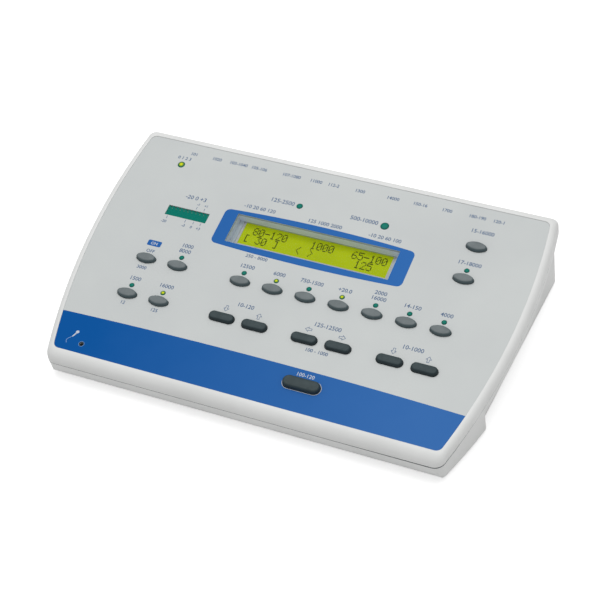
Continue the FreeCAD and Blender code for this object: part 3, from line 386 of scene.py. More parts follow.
# The halves don't close evenly: the gap is open at the right front corner and tight elsewhere.
# It opens from OPEN_U over OPEN_WIDTH to the right, and fades away over OPEN_DEPTH up the slope.
OPEN_U, OPEN_WIDTH, OPEN_DEPTH, OPEN_POWER = 30, 95, 32, 1.5
apart = np.clip((rim_u - OPEN_U) / OPEN_WIDTH, 0, 1) ** OPEN_POWER
apart = apart * np.clip(1 - (rim_v + NOSE) / OPEN_DEPTH, 0, 1)
first_row = len(recess) + len(crown)
lifted = slice(first_row, first_row + len(groove) - 1)
rim_n[lifted] += GAP_TIGHT + (GAP_OPEN - GAP_TIGHT) * apart[lifted]
rim = on_slope(rim_u, rim_v, rim_n), tube_faces(*rim_u.shape, ends=False)
deck_u, deck_v = bowed_outline(*deck_edge, PANEL_CORNER, PANEL_CORNER)
deck_loop = np.stack([deck_u[0], deck_v[0]], 1)
deck = [plate("deck_top", [deck_loop] + openings(WINDOW_SEAT, METER_SEAT), PLATE_LOW, -FILM),
        plate("deck_low", [deck_loop] + openings(FRAME_ROOM, 0), DECK_LOW, PLATE_LOW)]
piece("top_case_moulding", *merged([rim] + deck), white_abs, "case", ["top_case"],
      "case_plastic", sharp=35)

# ---- Lower case moulding -------------------------------------------------------------------
# The same ABS, moulded as a deep tub: a band flush with the top, two front legs, and a body set
# in behind them as a finger ledge. Its form is the frame's, with new normals and finish. Its
# uppermost face is dark with painted shade, for the floor of the shadow gap.


def smoothed(name, cad, material, sharp=32):
    """A finished copy of a CAD piece with its seams merged. The normal at each corner of a face
    is the mean, weighted by area, over the faces there that lie within sharp of its own."""
    mesh = frame["nodes"][cad].data.copy()
    work = bmesh.new()
    work.from_mesh(mesh)
    bmesh.ops.remove_doubles(work, verts=work.verts, dist=1e-6)
    work.to_mesh(mesh)
    work.free()
    count = len(mesh.polygons)
    facing, area, sides = np.zeros(count * 3), np.zeros(count), np.zeros(count, int)
    corner = np.zeros(len(mesh.loops), int)
    mesh.polygons.foreach_get("normal", facing)
    mesh.polygons.foreach_get("area", area)
    mesh.polygons.foreach_get("loop_total", sides)
    mesh.loops.foreach_get("vertex_index", corner)
    facing, face_at = facing.reshape(-1, 3), np.repeat(np.arange(count), sides)
    order = np.argsort(corner, kind="stable")
    around = np.bincount(corner)[corner[order]]
    normals = np.zeros((len(corner), 3))
    for faces_round in np.unique(around):
        corners = order[around == faces_round].reshape(-1, faces_round)
        near = facing[face_at[corners]]
        alike = np.einsum("mik,mjk->mij", near, near) > math.cos(math.radians(sharp))
        normals[corners] = np.einsum("mij,mjk->mik", alike * area[face_at[corners]][:, None], near)
    normals /= np.linalg.norm(normals, axis=1)[:, None] + 1e-12
    mesh.polygons.foreach_set("use_smooth", [True] * count)
    mesh.normals_split_custom_set(normals.tolist())
    mesh.materials.clear()
    mesh.materials.append(material)
    made = bpy.data.objects.new(name, mesh)
    bpy.context.scene.collection.objects.link(made)
    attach(made, frame["nodes"][cad]["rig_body"])
    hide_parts(cad)


NORMAL, UPHILL = (0.0, -math.sin(TILT), math.cos(TILT)), (0.0, math.cos(TILT), math.sin(TILT))


def shade(material, colour, own, other, along=NORMAL, most=1.0):
    """Lets another colour take over from N = own to N = other, or from one V to another where
    along is UPHILL: the height is the dot product of the place with the direction along."""
    panel_level = float(on_slope(0, 0, 0) @ np.array(along))
    place = node(material, "TexCoord").outputs["Object"]
    height = node(material, "VectorMath", {0: place, 1: along}, operation="DOT_PRODUCT")
    share = node(material, "MapRange", {"Value": height.outputs["Value"],
                                        "From Min": panel_level + own / 1000,
                                        "From Max": panel_level + other / 1000,
                                        "To Min": 0.0, "To Max": most})
    base = material.node_tree.nodes["Principled BSDF"].inputs["Base Color"]
    both = node(material, "MixRGB", {"Fac": share.outputs["Result"], "Color2": linear(colour),
                                     "Color1": base.links[0].from_socket})
    material.node_tree.links.new(both.outputs["Color"], base)


# The same textured ABS, with painted shade: dark grey on its uppermost face, the gap's floor.
GAP_SHADE_START, GAP_SHADE_FULL = PARTING - 0.06, PARTING - 0.02
base_abs_painted_gap_shade = textured_abs("textured_white_abs_painted_gap_shade")
shade(base_abs_painted_gap_shade, "5E6A6C", GAP_SHADE_START, GAP_SHADE_FULL)
smoothed("base_case_moulding", "base_case", base_abs_painted_gap_shade)

# ---- Printed film --------------------------------------------------------------------------
# One sheet of satin polyester film glued into the recess, printed light grey, with a blue band
# along the front, a blue barrel-shaped surround to the display, and small blue-grey markings.


def recoat(names, material):
    """Gives CAD pieces that keep their shape their real finish."""
    for name in names:
        frame["nodes"][name].data.materials.clear()
        frame["nodes"][name].data.materials.append(material)


# Satin film is smoother than the case: a flat pale grey with a broad, soft sheen.
polyester = moulded("satin_polyester_film", "C1C5C5", "C7CBCA", patch_mm=60, grain_mm=0.35,
                    grain_depth_mm=0.004, roughness=0.42, spread=0.04, ior=1.5)
recoat(["panel_overlay"], polyester)

# The ink's thickness; then how uneven its painted light fade is, and over how far it runs.
INK, BLOTCH_MM, BLOTCH_SHIFT, FADE_HALF = 0.03, 16.7, 12.0, 100.0


def ink(name, colour, painted_light_colour=None):
    """Screen-printed ink: a dense matt layer that hardly mirrors the room, a little uneven. Where
    it has a painted light colour, painted light makes it paler from left to right."""
    material = moulded(name, colour, painted_light_colour or colour, patch_mm=30, grain_mm=0.4,
                       grain_depth_mm=0.004, roughness=0.5, spread=0.03, ior=1.1)
    if painted_light_colour:
        place = node(material, "TexCoord").outputs["Object"]
        across = node(material, "SeparateXYZ", {"Vector": place}).outputs["X"]
        blotch = node(material, "TexNoise", {"Vector": place, "Scale": 1000 / BLOTCH_MM,
                                             "Detail": 2.0})
        shift = node(material, "MapRange", {"Value": blotch.outputs["Fac"],
                                            "From Min": 0.0, "From Max": 1.0,
                                            "To Min": -BLOTCH_SHIFT / 1000,
                                            "To Max": BLOTCH_SHIFT / 1000}).outputs["Result"]
        uneven = node(material, "Math", {0: across, 1: shift}, operation="ADD").outputs[0]
        fade = node(material, "MapRange", {"Value": uneven, "From Min": -FADE_HALF / 1000,
                                           "From Max": FADE_HALF / 1000}).outputs["Result"]
        ramp = next(made for made in material.node_tree.nodes if made.type == "VALTORGB")
        ramp.color_ramp.elements[0].position, ramp.color_ramp.elements[1].position = 0.0, 1.0
        material.node_tree.links.new(fade, ramp.inputs["Fac"])
    return material


def printed(name, loops, material, n=0.0):
    """A printed shape: a plate of ink on the film, from its outlines and holes."""
    piece(name, *plate(name, loops, n, n + INK), material, "case", slot="overlay_film", sharp=60)


# The inks look flat and strong: a clear blue and the surround's blue, both paler to the right by
# painted light, a greyed blue for the figures, and an off-white on the blue.
blue_ink = ink("blue_screen_ink", "08559F", "3A6FB3")
surround_ink = ink("blue_surround_ink", "2963AA", "356EB5")
mark_ink = ink("blue_grey_marking_ink", "5C7292")
white_ink = ink("white_marking_ink", "C6CDD8")
sign_ink = ink("light_blue_sign_ink", "7FA0CC")

# The band follows the film's outline, just inside its edge, and its rear edge is arched.
BAND_END_V, BAND_ARCH, ARCH_OUT, EDGE_INSET = 24.7, 2.3, 0.25, 0.05
edge_u, edge_v = bowed_outline(-EDGE_INSET, -EDGE_INSET, -EDGE_INSET, PANEL_CORNER, PANEL_CORNER)
edge = np.stack([edge_u[0], edge_v[0]], 1)
half = len(edge) // 2
right = edge[:half][edge[:half, 1] < BAND_END_V]
band_end = right[-1, 0] + ARCH_OUT
arch_u = np.linspace(band_end, -band_end, 60)
arch = np.stack([arch_u, BAND_END_V + BAND_ARCH * (1 - (arch_u / band_end) ** 2)], 1)
left = right[::-1] * [-1, 1]
band = np.concatenate([right, arch, left[:-1]])
present_hole = pill(*PRESENT, PRESENT_SIZE[0] + 2 * KEY_GAP, PRESENT_SIZE[1] + 2 * KEY_GAP)
printed("blue_front_band", [band, present_hole, circle(*MIC, MIC_HOLE)], blue_ink)

# The display surround is a barrel: upright sides, bowed top and bottom, round corners.
SURROUND_HALF, SURROUND_CORNER, SURROUND_SHIFT = 59.8, 3.4, 0.3
SURROUND_TOP, TOP_BULGE, SURROUND_LOW, LOW_BULGE = 120.2, 2.1, 94.2, 1.6


def barrel_edge(end_v, bulge, corner_sign):
    """Half of the surround: one corner arc, then a parabola of height bulge to the middle."""
    turn = np.linspace(0, np.pi / 2, 12)
    flat = SURROUND_HALF - SURROUND_CORNER
    corner = np.stack([flat + SURROUND_CORNER * np.cos(turn),
                       end_v + corner_sign * SURROUND_CORNER * (np.sin(turn) - 1)], 1)
    across = np.linspace(flat, 0, 24)[1:]
    bowed = np.stack([across, end_v + corner_sign * bulge * (1 - (across / flat) ** 2)], 1)
    return np.concatenate([corner, bowed])


top_right = barrel_edge(SURROUND_TOP, TOP_BULGE, 1)
low_right = barrel_edge(SURROUND_LOW, LOW_BULGE, -1)
surround = np.concatenate([top_right, (top_right * [-1, 1])[-2::-1],
                           low_right * [-1, 1], low_right[-2::-1]])
surround += [LAYOUT_U + SURROUND_SHIFT, 0]
printed("display_surround", [surround, window_edge(WINDOW)], surround_ink)

# A capital's share of its font's size, how much heavier it is printed, and the line spacing.
CAPITAL, HEAVIER, LINE_PITCH = 0.73, 0.045, 3.9


def lettering(name, items, material, n=0.0):
    """Plain figures set in the panel's plane: (text, U, V of the base line, height) each."""
    parts = []
    for text, u, v, height in items:
        curve = bpy.data.curves.new(name, "FONT")
        curve.body, curve.size, curve.align_x = text, height / CAPITAL, "CENTER"
        curve.extrude, curve.resolution_u, curve.offset = INK / 2, 3, HEAVIER
        points, faces = curve_points(curve, 0, 0)
        points = points + on_slope(u, v, n + INK / 2) - on_slope(0, 0, 0)
        parts.append((points, faces))
    piece(name, *merged(parts), material, "case", slot="overlay_film", sharp=60)


def stroke(points, width, closed=False):
    """Outline of a line of even width along points: the same path shifted to its two sides. At
    the corners of a closed path the shift is divided by the cosine of half the corner's turn."""
    path = np.asarray(points, float)
    onward = np.roll(path, -1, 0) - path if closed else np.gradient(path, axis=0)
    if not closed:
        across = np.stack([-onward[:, 1], onward[:, 0]], 1)
        across *= width / 2 / np.linalg.norm(across, axis=1)[:, None]
        return [np.concatenate([path + across, (path - across)[::-1]])]
    onward /= np.linalg.norm(onward, axis=1)[:, None]
    mean = onward + np.roll(onward, 1, 0)
    across = np.stack([-mean[:, 1], mean[:, 0]], 1)
    across /= np.linalg.norm(across, axis=1)[:, None]
    cosine = across[:, 1] * onward[:, 0] - across[:, 0] * onward[:, 1]
    across *= width / 2 / np.clip(cosine, 0.3, 1)[:, None]
    return [path + across, path - across]


def over(name, rise, text, height=2.7):
    """Lettering over or under a key: one line, or two where the text has a space."""
    u, v = OVALS[name]
    return [(word, u, v + rise + LINE_PITCH * (len(text.split()) - 1 - line), height)
            for line, word in enumerate(text.split())]


# Plain figures stand where the console has its markings, at their sizes.
numbers = []
for name, text in (("test_menu", "1000 8000"), ("pulse", "12500"), ("mask", "6000"),
                   ("constant", "750-1500"), ("boost", "+20.0"), ("free_field", "2000 16000"),
                   ("speech", "14-150"), ("bone", "4000")):
    numbers += over(name + "_key", 10.0, text)
numbers += over("left_key", 10.1, "1500") + over("right_key", 10.1, "16000")
numbers += over("on_off_key", 4.8, "OFF", 2.2) + over("on_off_key", -7.6, "3000", 2.3)
numbers += over("left_key", -7.3, "12", 2.3) + over("right_key", -7.3, "125", 2.3)
numbers += over("talkback_key", 10.0, "17-18000") + over("talkover_key", 10.0, "15-16000")
numbers += [("10-120", -20.0, 56.1, 2.7), ("125-12500", 30.5, 55.9, 2.8),
            ("10-1000", 81.2, 55.8, 2.8), ("100 - 1000", 30.5, 38.8, 2.3),
            ("250 - 8000", -27.5, 89.9, 2.3), ("-10 20 60 120", -39.8, 124.0, 2.6),
            ("125 1000 2000", 2.0, 123.8, 2.6), ("-10 20 60 100", 39.6, 123.6, 2.6),
            ("125-2500", -28.6, 132.5, 2.95), ("500-10000", 23.3, 132.5, 2.95),
            ("0 1 2 3", -100.4, 148.1, 2.3), ("-20 0 +3", -80.4, 120.7, 2.9),
            ("-1", -77.0, 117.2, 1.7), ("+1", -71.9, 117.2, 1.7), ("-20", -92.6, 100.1, 1.9),
            ("-3", -79.6, 100.1, 1.9), ("0", -74.6, 100.1, 1.9), ("+3", -70.0, 100.1, 1.9)]
REAR_V, REAR_HEIGHT = 152.6, 2.3
REAR_NUMBERS = {"101": -95.8, "1020": -80.5, "103-1040": -66.0, "105-106": -52.3,
                "107-1080": -31.0, "11000": -15.0, "112-2": -3.7, "1300": 13.2, "14000": 34.0,
                "150-16": 51.0, "1700": 67.5, "180-190": 86.0, "120-1": 99.1}
numbers += [(text, u, REAR_V, REAR_HEIGHT) for text, u in REAR_NUMBERS.items()]
lettering("panel_numbers", numbers, mark_ink)

# The blue tag over the first key, and the figures on the blue.
TAG_V, TAG_SIZE, TAG_CORNER = 83.8, (8.7, 4.0), 0.7
printed("on_tag", [rounded(MENU_U, TAG_V, *TAG_SIZE, TAG_CORNER)], surround_ink)
lettering("on_tag_letters", [("ON", MENU_U, TAG_V - 1.0, 2.0)], white_ink, n=INK)
lettering("band_number", [("100-120", 30.5, 22.4, 2.4)], white_ink, n=INK)

# Block arrows over the pill keys, drawn in outline: down, up, left, right, down, up.
ARROW = np.array([(-0.62, 1.9), (0.62, 1.9), (0.62, -0.1), (1.5, -0.1), (0, -1.9),
                  (-1.5, -0.1), (-0.62, -0.1)])
ARROW_RISE, ARROW_LINE = 6.9, 0.28
TURNS = {"signal_down_key": 0, "signal_up_key": 2, "frequency_down_key": 3,
         "frequency_up_key": 1, "masking_down_key": 0, "masking_up_key": 2}
arrows = []
for name, quarter in TURNS.items():
    angle = quarter * np.pi / 2
    turned = ARROW @ np.array([[np.cos(angle), np.sin(angle)], [-np.sin(angle), np.cos(angle)]])
    arrows += stroke(turned + PILLS[name] + [0, ARROW_RISE], ARROW_LINE, True)

# The level bar's scale: short upright lines over it and under it.
SCALE_LINE, UPPER_V, LOWER_V = 0.3, (114.2, 116.0), (103.2, 105.2)
UPPER_MARKS, LOWER_MARKS = (-77.0, -72.0), (-92.0, -79.8, -74.5, -69.8)
scale_marks = [stroke([(u, low), (u, high)], SCALE_LINE)[0]
               for marks, (low, high) in ((UPPER_MARKS, UPPER_V), (LOWER_MARKS, LOWER_V))
               for u in marks]
printed("arrows_and_scale", arrows + scale_marks, mark_ink)

# The microphone sign by its hole: a head, a grip, and a cord bowed as the first CORD_TURN of half
# a sine wave. A thin light line runs round the large key, and the hole has a dark edge with a
# light ring.
MIC_HEAD, HEAD_RADIUS, GRIP_TOP, GRIP_END = (-107.0, 13.1), 1.0, (-107.3, 12.3), (-108.6, 9.4)
GRIP_WIDTH, CORD_BOW, CORD_TURN, CORD_DROP, CORD_WIDTH = 0.75, 2.4, 0.78, 4.75, 0.35
RING_SIZE, RING_LINES = (23.3, 8.6), (0.32, 0.295)
HOLE_EDGE, HOLE_RING = 1.5, (1.52, 1.75)
ring_inside = RING_SIZE[0] - 2 * RING_LINES[0], RING_SIZE[1] - 2 * RING_LINES[1]
along = np.linspace(0, 1, 20)
cord = np.stack([GRIP_END[0] - CORD_BOW * np.sin(CORD_TURN * np.pi * along),
                 GRIP_END[1] - CORD_DROP * along], 1)
grip = stroke([GRIP_TOP, GRIP_END], GRIP_WIDTH)
printed("white_signs", [circle(*MIC_HEAD, HEAD_RADIUS), *grip, pill(*PRESENT, *RING_SIZE),
                        pill(*PRESENT, *ring_inside)], white_ink, n=INK)
printed("microphone_sign_cord", [stroke(cord, CORD_WIDTH)[0], circle(*MIC, HOLE_RING[1]),
                                 circle(*MIC, HOLE_RING[0])], sign_ink, n=INK)
printed("microphone_hole_edge", [circle(*MIC, HOLE_EDGE), circle(*MIC, MIC_HOLE)],
        ink("black_hole_edge_ink", "1C2628"), n=INK)

# ---- Display -------------------------------------------------------------------------------
# A two-line, 24-character liquid crystal module with a yellow-green back light in a plated steel
# bezel, seen through a clear acrylic window at the bottom of a grey moulded well.


def box_points(u, v, size_u, size_v, n_low, n_high):
    """Corners and faces of boxes, one for each U and V: the corners lie half a size to each side
    of the centre."""
    u, v = np.atleast_1d(u).astype(float), np.atleast_1d(v).astype(float)
    corner = np.array([(-1, -1), (1, -1), (1, 1), (-1, 1)]) / 2
    plan_u = u[:, None] + corner[None, :, 0] * size_u
    plan_v = v[:, None] + corner[None, :, 1] * size_v
    low, high = on_slope(plan_u, plan_v, n_low), on_slope(plan_u, plan_v, n_high)
    points = np.concatenate([low, high], 1).reshape(-1, 3)
    one = np.array([(0, 3, 2, 1), (4, 5, 6, 7), (0, 1, 5, 4), (1, 2, 6, 5), (2, 3, 7, 6),
                    (3, 0, 4, 7)])
    faces = (one[None] + np.arange(len(u))[:, None, None] * 8).reshape(-1, 4).tolist()
    return points, faces


def see_through(name, colour, alpha, roughness):
    """Coated acrylic sheet, clear or tinted: a thin pane that hardly mirrors the room."""
    material = moulded(name, colour, colour, patch_mm=40, grain_mm=1.0, grain_depth_mm=0.0005,
                       roughness=roughness, spread=0.02, ior=1.12)
    material.node_tree.nodes["Principled BSDF"].inputs["Alpha"].default_value = alpha
    return material


VIEW_V, VIEW_SIZE, DISPLAY_DEPTH, LEDGE = 110.3, (93.5, 15.8), 6.9, 0.5
PANE_GAP, SEAT_GAP = 0.03, 0.15
pane = window_edge(WINDOW, -PANE_GAP)
border = [window_edge(WINDOW, WINDOW_SEAT - SEAT_GAP), window_edge(WINDOW)]
# Clear acrylic darkens what lies under it a little, and adds only a faint gloss.
piece("window_pane", *plate("window_pane", [pane], PLATE_LOW, -FILM),
      see_through("clear_acrylic", "3C4444", 0.04, 0.12), "case", ["display_window"],
      "clear_window", sharp=30)
# The window's edge is printed: a plain pale line round the well.
border_ink = ink("grey_border_ink", "B0B8C0")
piece("window_border", *plate("window_border", border, PLATE_LOW, -FILM), border_ink, "case",
      ["display_window"], "clear_window", sharp=30)

# Moulded grey ABS looks even and dull, with painted light on the well's far wall, which faces the
# light, and painted shade on the ledge at the bottom.
WINDOW_TOP, LEDGE_N = WINDOW[1] + WINDOW[3] / 2, -DISPLAY_DEPTH + LEDGE
grey_abs = moulded("grey_moulded_abs", "CCD5E8", "D4DDF0", patch_mm=30, grain_mm=0.5,
                   grain_depth_mm=0.01, roughness=0.55, ior=1.3)
# Painted light: the far wall is paler and bluer.
shade(grey_abs, "E4ECFF", WINDOW_TOP - 0.1, WINDOW_TOP - 0.02, UPHILL)
# Painted shade: the ledge is darker.
shade(grey_abs, "B5C0C6", LEDGE_N + 0.04, LEDGE_N + 0.01)
recoat(["display_frame"], grey_abs)
# Tin plate shows a soft grey with no clear mirror image.
tin = moulded("satin_tin_plate", "B4B6B6", "C1C3C3", patch_mm=8, grain_mm=0.3,
              grain_depth_mm=0.004, roughness=0.5, ior=1.3)
recoat(["lcd_shield"], tin)

# Liquid crystal over its back light: an even yellow-green that glows a little, with painted shade
# along the top, for the shadow of the well's wall.
GLOW, VIEW_TOP, TOP_SHADE = 0.3, VIEW_V + VIEW_SIZE[1] / 2, 4.5
lcd = moulded("back_lit_liquid_crystal", "96A600", "A2B202", patch_mm=25, grain_mm=0.9,
              grain_depth_mm=0.001, roughness=0.35, spread=0.03, ior=1.15)
lcd_shader = lcd.node_tree.nodes["Principled BSDF"]
lcd_shader.inputs["Emission Color"].default_value = linear("A6B804")
lcd_shader.inputs["Emission Strength"].default_value = GLOW
# Painted shade along the top edge.
shade(lcd, "5C6614", VIEW_TOP - TOP_SHADE, VIEW_TOP, UPHILL, most=0.2)
recoat(["lcd_glass"], lcd)

# Characters of 5 by 7 dots, in two rows. The dots lie on the glass, 0.3 mm down in the bezel.
DOT_SIZE, DOT_PITCH, CHARACTER_PITCH, ROW_PITCH = (0.6, 0.74), (0.65, 0.8), 3.7, 5.95
GLASS_N, DOT_SUNK, DOT_PROUD = -DISPLAY_DEPTH - 0.3, 0.01, 0.03
DOTS = {"0": "01110 10001 10011 10101 11001 10001 01110",
        "1": "00100 01100 00100 00100 00100 00100 01110",
        "2": "01110 10001 00001 00010 00100 01000 11111",
        "3": "11111 00010 00100 00010 00001 10001 01110",
        "4": "00010 00110 01010 10010 11111 00010 00010",
        "5": "11111 10000 11110 00001 00001 10001 01110",
        "6": "00110 01000 10000 11110 10001 10001 01110",
        "8": "01110 10001 10001 01110 10001 10001 01110",
        "[": "01110 01000 01000 01000 01000 01000 01110",
        "]": "01110 00010 00010 00010 00010 00010 01110",
        "<": "00010 00100 01000 10000 01000 00100 00010",
        ">": "01000 00100 00010 00001 00010 00100 01000",
        "-": "00000 00000 00000 11111 00000 00000 00000"}
TEXT = {1: " 80-120    1000   65-100", 0: "[ 30 ]   < >       125  "}
dot_u, dot_v = [], []
for row, text in TEXT.items():
    for column, character in enumerate(text):
        if character == " ":
            continue
        grid = np.array([[int(cell) for cell in line] for line in DOTS[character].split()])
        down, across = np.nonzero(grid)
        dot_u.append(LAYOUT_U + (column - 11.5) * CHARACTER_PITCH + (across - 2) * DOT_PITCH[0])
        dot_v.append(VIEW_V + (row - 0.5) * ROW_PITCH + (3 - down) * DOT_PITCH[1])
dots = box_points(np.concatenate(dot_u), np.concatenate(dot_v), *DOT_SIZE,
                  GLASS_N - DOT_SUNK, GLASS_N + DOT_PROUD)
# A closed crystal looks dark olive, because the back light still comes through it a little.
segment = moulded("dark_crystal_dots", "3F470A", "4A520C", patch_mm=20, grain_mm=0.5,
                  grain_depth_mm=0.001, roughness=0.5, ior=1.15)
piece("lcd_characters", *dots, segment, "case", slot="lcd_cell", sharp=30)

# ---- Level bar -----------------------------------------------------------------------------
# Ten small light bars, dark while they are off, under a green acrylic window. Each has a pale
# reflector that shows through beside it.
BAR_COUNT, BAR_PITCH, BAR_SIZE, BAR_V, BAR_THICK = 10, 2.62, (0.95, 0.5), METER[1] + 3.2, 0.02
REFLECTOR_SIZE, REFLECTOR_SHIFT, REFLECTOR_V = (0.6, 0.4), 0.9, METER[1] + 1.9
bar_u = METER[0] + (np.arange(BAR_COUNT) - (BAR_COUNT - 1) / 2) * BAR_PITCH
# Tinted acrylic: a deep green in which only the strongest contrasts under it still show.
green_pane = see_through("green_acrylic", "048474", 0.7, 0.3)
recoat(["meter_window"], green_pane)
# The bar's green body, and the two tones that show in it: a bar that is off, and its reflector.
bar_body = moulded("green_bar_body", "06907F", "0A9A88", patch_mm=10, grain_mm=0.5,
                   grain_depth_mm=0.01, roughness=0.5, ior=1.2)
recoat(["meter_bargraph"], bar_body)
off_bar = moulded("dark_unlit_bar", "3A2E34", "4A3A40", patch_mm=4, grain_mm=0.4,
                  grain_depth_mm=0.004, roughness=0.5, ior=1.2)
pale_bar = moulded("pale_bar_reflector", "62705E", "72806C", patch_mm=4, grain_mm=0.4,
                   grain_depth_mm=0.004, roughness=0.5, ior=1.2)
bars = box_points(bar_u, BAR_V, *BAR_SIZE, -FILM, -FILM + BAR_THICK)
reflectors = box_points(bar_u + REFLECTOR_SHIFT, REFLECTOR_V, *REFLECTOR_SIZE, -FILM,
                        -FILM + BAR_THICK)
piece("level_bar_segments", *bars, off_bar, "case", slot="led_bar", sharp=30)
piece("level_bar_reflectors", *reflectors, pale_bar, "case", slot="led_bar", sharp=30)

# ---- Keys ----------------------------------------------------------------------------------
# Satin ABS keycaps, light grey ovals and dark grey pills: a nearly flat top, a round edge, a
# skirt darkened by painted shade, a flange under the deck and a stem.
KEY_PROUD, PRESENT_PROUD = 2.5, 3.0
KEY_ROUND, KEY_DROP, CROWN, EDGE_ROWS = 1.5, 1.6, 0.2, 9
FLANGE_TOP, FLANGE_LOW, STEM_LOW, STEM_RADIUS, FLANGE = -3.3, -4.3, -6.7, 1.6, 1.0
CROWN_SHARES = np.array([0.05, 0.2, 0.4, 0.6, 0.8, 0.92])


def keycap(outline, u, v, size, proud):
    """Keycap skin, as rows of the key's outline: shrunk to CROWN_SHARES over the top, which falls
    by CROWN times the share squared, then a quarter ellipse of KEY_ROUND by KEY_DROP at the edge,
    wider by FLANGE under the deck, and last two circles for the stem."""
    bend = np.radians(np.linspace(90, 0, EDGE_ROWS))
    scale = np.concatenate([CROWN_SHARES, np.ones(EDGE_ROWS + 4), [0, 0]])
    grow = np.concatenate([np.full(len(CROWN_SHARES), -KEY_ROUND), KEY_ROUND * (np.cos(bend) - 1),
                           [0, FLANGE, FLANGE, 0, 0, 0]])
    n = np.concatenate([proud - CROWN * CROWN_SHARES ** 2,
                        proud - CROWN - KEY_DROP * (1 - np.sin(bend)),
                        [FLANGE_TOP, FLANGE_TOP, FLANGE_LOW, FLANGE_LOW, FLANGE_LOW, STEM_LOW]])
    stem = np.where(scale == 0, STEM_RADIUS, 0)
    turns = (np.arange(KEY_POINTS) + 0.5) / KEY_POINTS * 2 * np.pi
    plan = np.stack([outline(0, 0, size[0] + 2 * g, size[1] + 2 * g) for g in grow])
    round_plan = np.stack([np.cos(turns), np.sin(turns)], 1)[None]
    plan = scale[:, None, None] * plan + stem[:, None, None] * round_plan
    points = on_slope(u + plan[..., 0], v + plan[..., 1], n[:, None])
    return points.reshape(-1, 3), tube_faces(len(n), KEY_POINTS)


# How far under the cap's top the painted skirt shade starts, and where it is full.
SKIRT_SHADE_START, SKIRT_SHADE_FULL = 0.25, 0.7


def painted_skirt_shade(name, dark, light, skirt, proud):
    """Satin ABS of a cap, with painted shade: the skirt colour takes over under the cap's edge."""
    material = moulded(name, dark, light, patch_mm=6, grain_mm=0.45, grain_depth_mm=0.02,
                       roughness=0.5, spread=0.08, ior=1.3)
    shade(material, skirt, proud - SKIRT_SHADE_START, proud - SKIRT_SHADE_FULL)
    return material


# Satin ABS: a soft, greyed colour, coarse grain, no clear highlight; painted shade on the skirt.
light_key = painted_skirt_shade("satin_grey_two_shot_abs", "6A7274", "767E80", "4D5B5F", KEY_PROUD)
dark_key = painted_skirt_shade("satin_dark_two_shot_abs", "334043", "3D4A4D", "263236", KEY_PROUD)
large_key = painted_skirt_shade("satin_dark_large_key_abs", "323F42", "3C494C", "28373E", PRESENT_PROUD)
for name, (u, v) in OVALS.items():
    piece(name + "_cap", *keycap(oval, u, v, OVAL_SIZE, KEY_PROUD), light_key,
          name[:-4], [name], "light_key_plastic", sharp=50)
for name, (u, v) in PILLS.items():
    piece(name + "_cap", *keycap(pill, u, v, PILL_SIZE, KEY_PROUD), dark_key,
          name[:-4], [name], "dark_key_plastic", sharp=50)
piece("present_key_cap", *keycap(pill, *PRESENT, PRESENT_SIZE, PRESENT_PROUD), large_key,
      "present", ["present_key"], "dark_key_plastic", sharp=50)

# ---- Indicator lights ----------------------------------------------------------------------
# Cast epoxy lamps of 3 to 5 mm, flush in the film: teal when off, yellow-green when lit, with
# the tint of the resin left at the edge. They stand on the keypad board.
KEYPAD_TOP, FOOT, FOOT_HIGH, DOME, LAMP_POINTS = -9.6, 0.4, 1.0, 0.5, 40


def lamp(u, v, radius):
    """Lamp turned about its axis: foot, body and a dome, which is a quarter ellipse of radius by
    DOME. Gives its points, its faces, and for each point how far out it lies, as a share of the
    radius."""
    bend = np.radians(np.linspace(0, 84, 8))
    r = np.concatenate([[0.05, radius + FOOT, radius + FOOT, radius], radius * np.cos(bend)])
    n = np.concatenate([[KEYPAD_TOP, KEYPAD_TOP, KEYPAD_TOP + FOOT_HIGH, KEYPAD_TOP + FOOT_HIGH],
                        DOME * np.sin(bend)])
    turns = np.arange(LAMP_POINTS) / LAMP_POINTS * 2 * np.pi
    points = on_slope(u + r[:, None] * np.cos(turns), v + r[:, None] * np.sin(turns), n[:, None])
    return (points.reshape(-1, 3), tube_faces(len(r), LAMP_POINTS),
            np.repeat(r / radius, LAMP_POINTS))


MOTTLE_MM, MOTTLE_SHIFT = 0.714, 0.15


def epoxy(name, stops, glow):
    """Cast resin whose colour changes from the middle of the lamp to its edge: (share, hex)."""
    material = moulded(name, stops[0][1], stops[0][1], patch_mm=3, grain_mm=0.6,
                       grain_depth_mm=0.01, roughness=0.4, ior=1.2)
    shader = material.node_tree.nodes["Principled BSDF"]
    reach = node(material, "Attribute", attribute_name="reach").outputs["Fac"]
    place = node(material, "TexCoord").outputs["Object"]
    mottle = node(material, "TexNoise", {"Vector": place, "Scale": 1000 / MOTTLE_MM})
    shift = node(material, "MapRange", {"Value": mottle.outputs["Fac"], "To Min": -MOTTLE_SHIFT,
                                        "To Max": MOTTLE_SHIFT}).outputs["Result"]
    uneven = node(material, "Math", {0: reach, 1: shift}).outputs[0]
    ramp = node(material, "ValToRGB", {"Fac": uneven})
    elements = ramp.color_ramp.elements
    elements[0].position, elements[1].position = stops[0][0], stops[-1][0]
    elements[0].color, elements[1].color = linear(stops[0][1]), linear(stops[-1][1])
    for share, colour in stops[1:-1]:
        elements.new(share).color = linear(colour)
    for socket in ("Base Color", "Emission Color"):
        material.node_tree.links.new(ramp.outputs["Color"], shader.inputs[socket])
    shader.inputs["Emission Strength"].default_value = glow
    return material
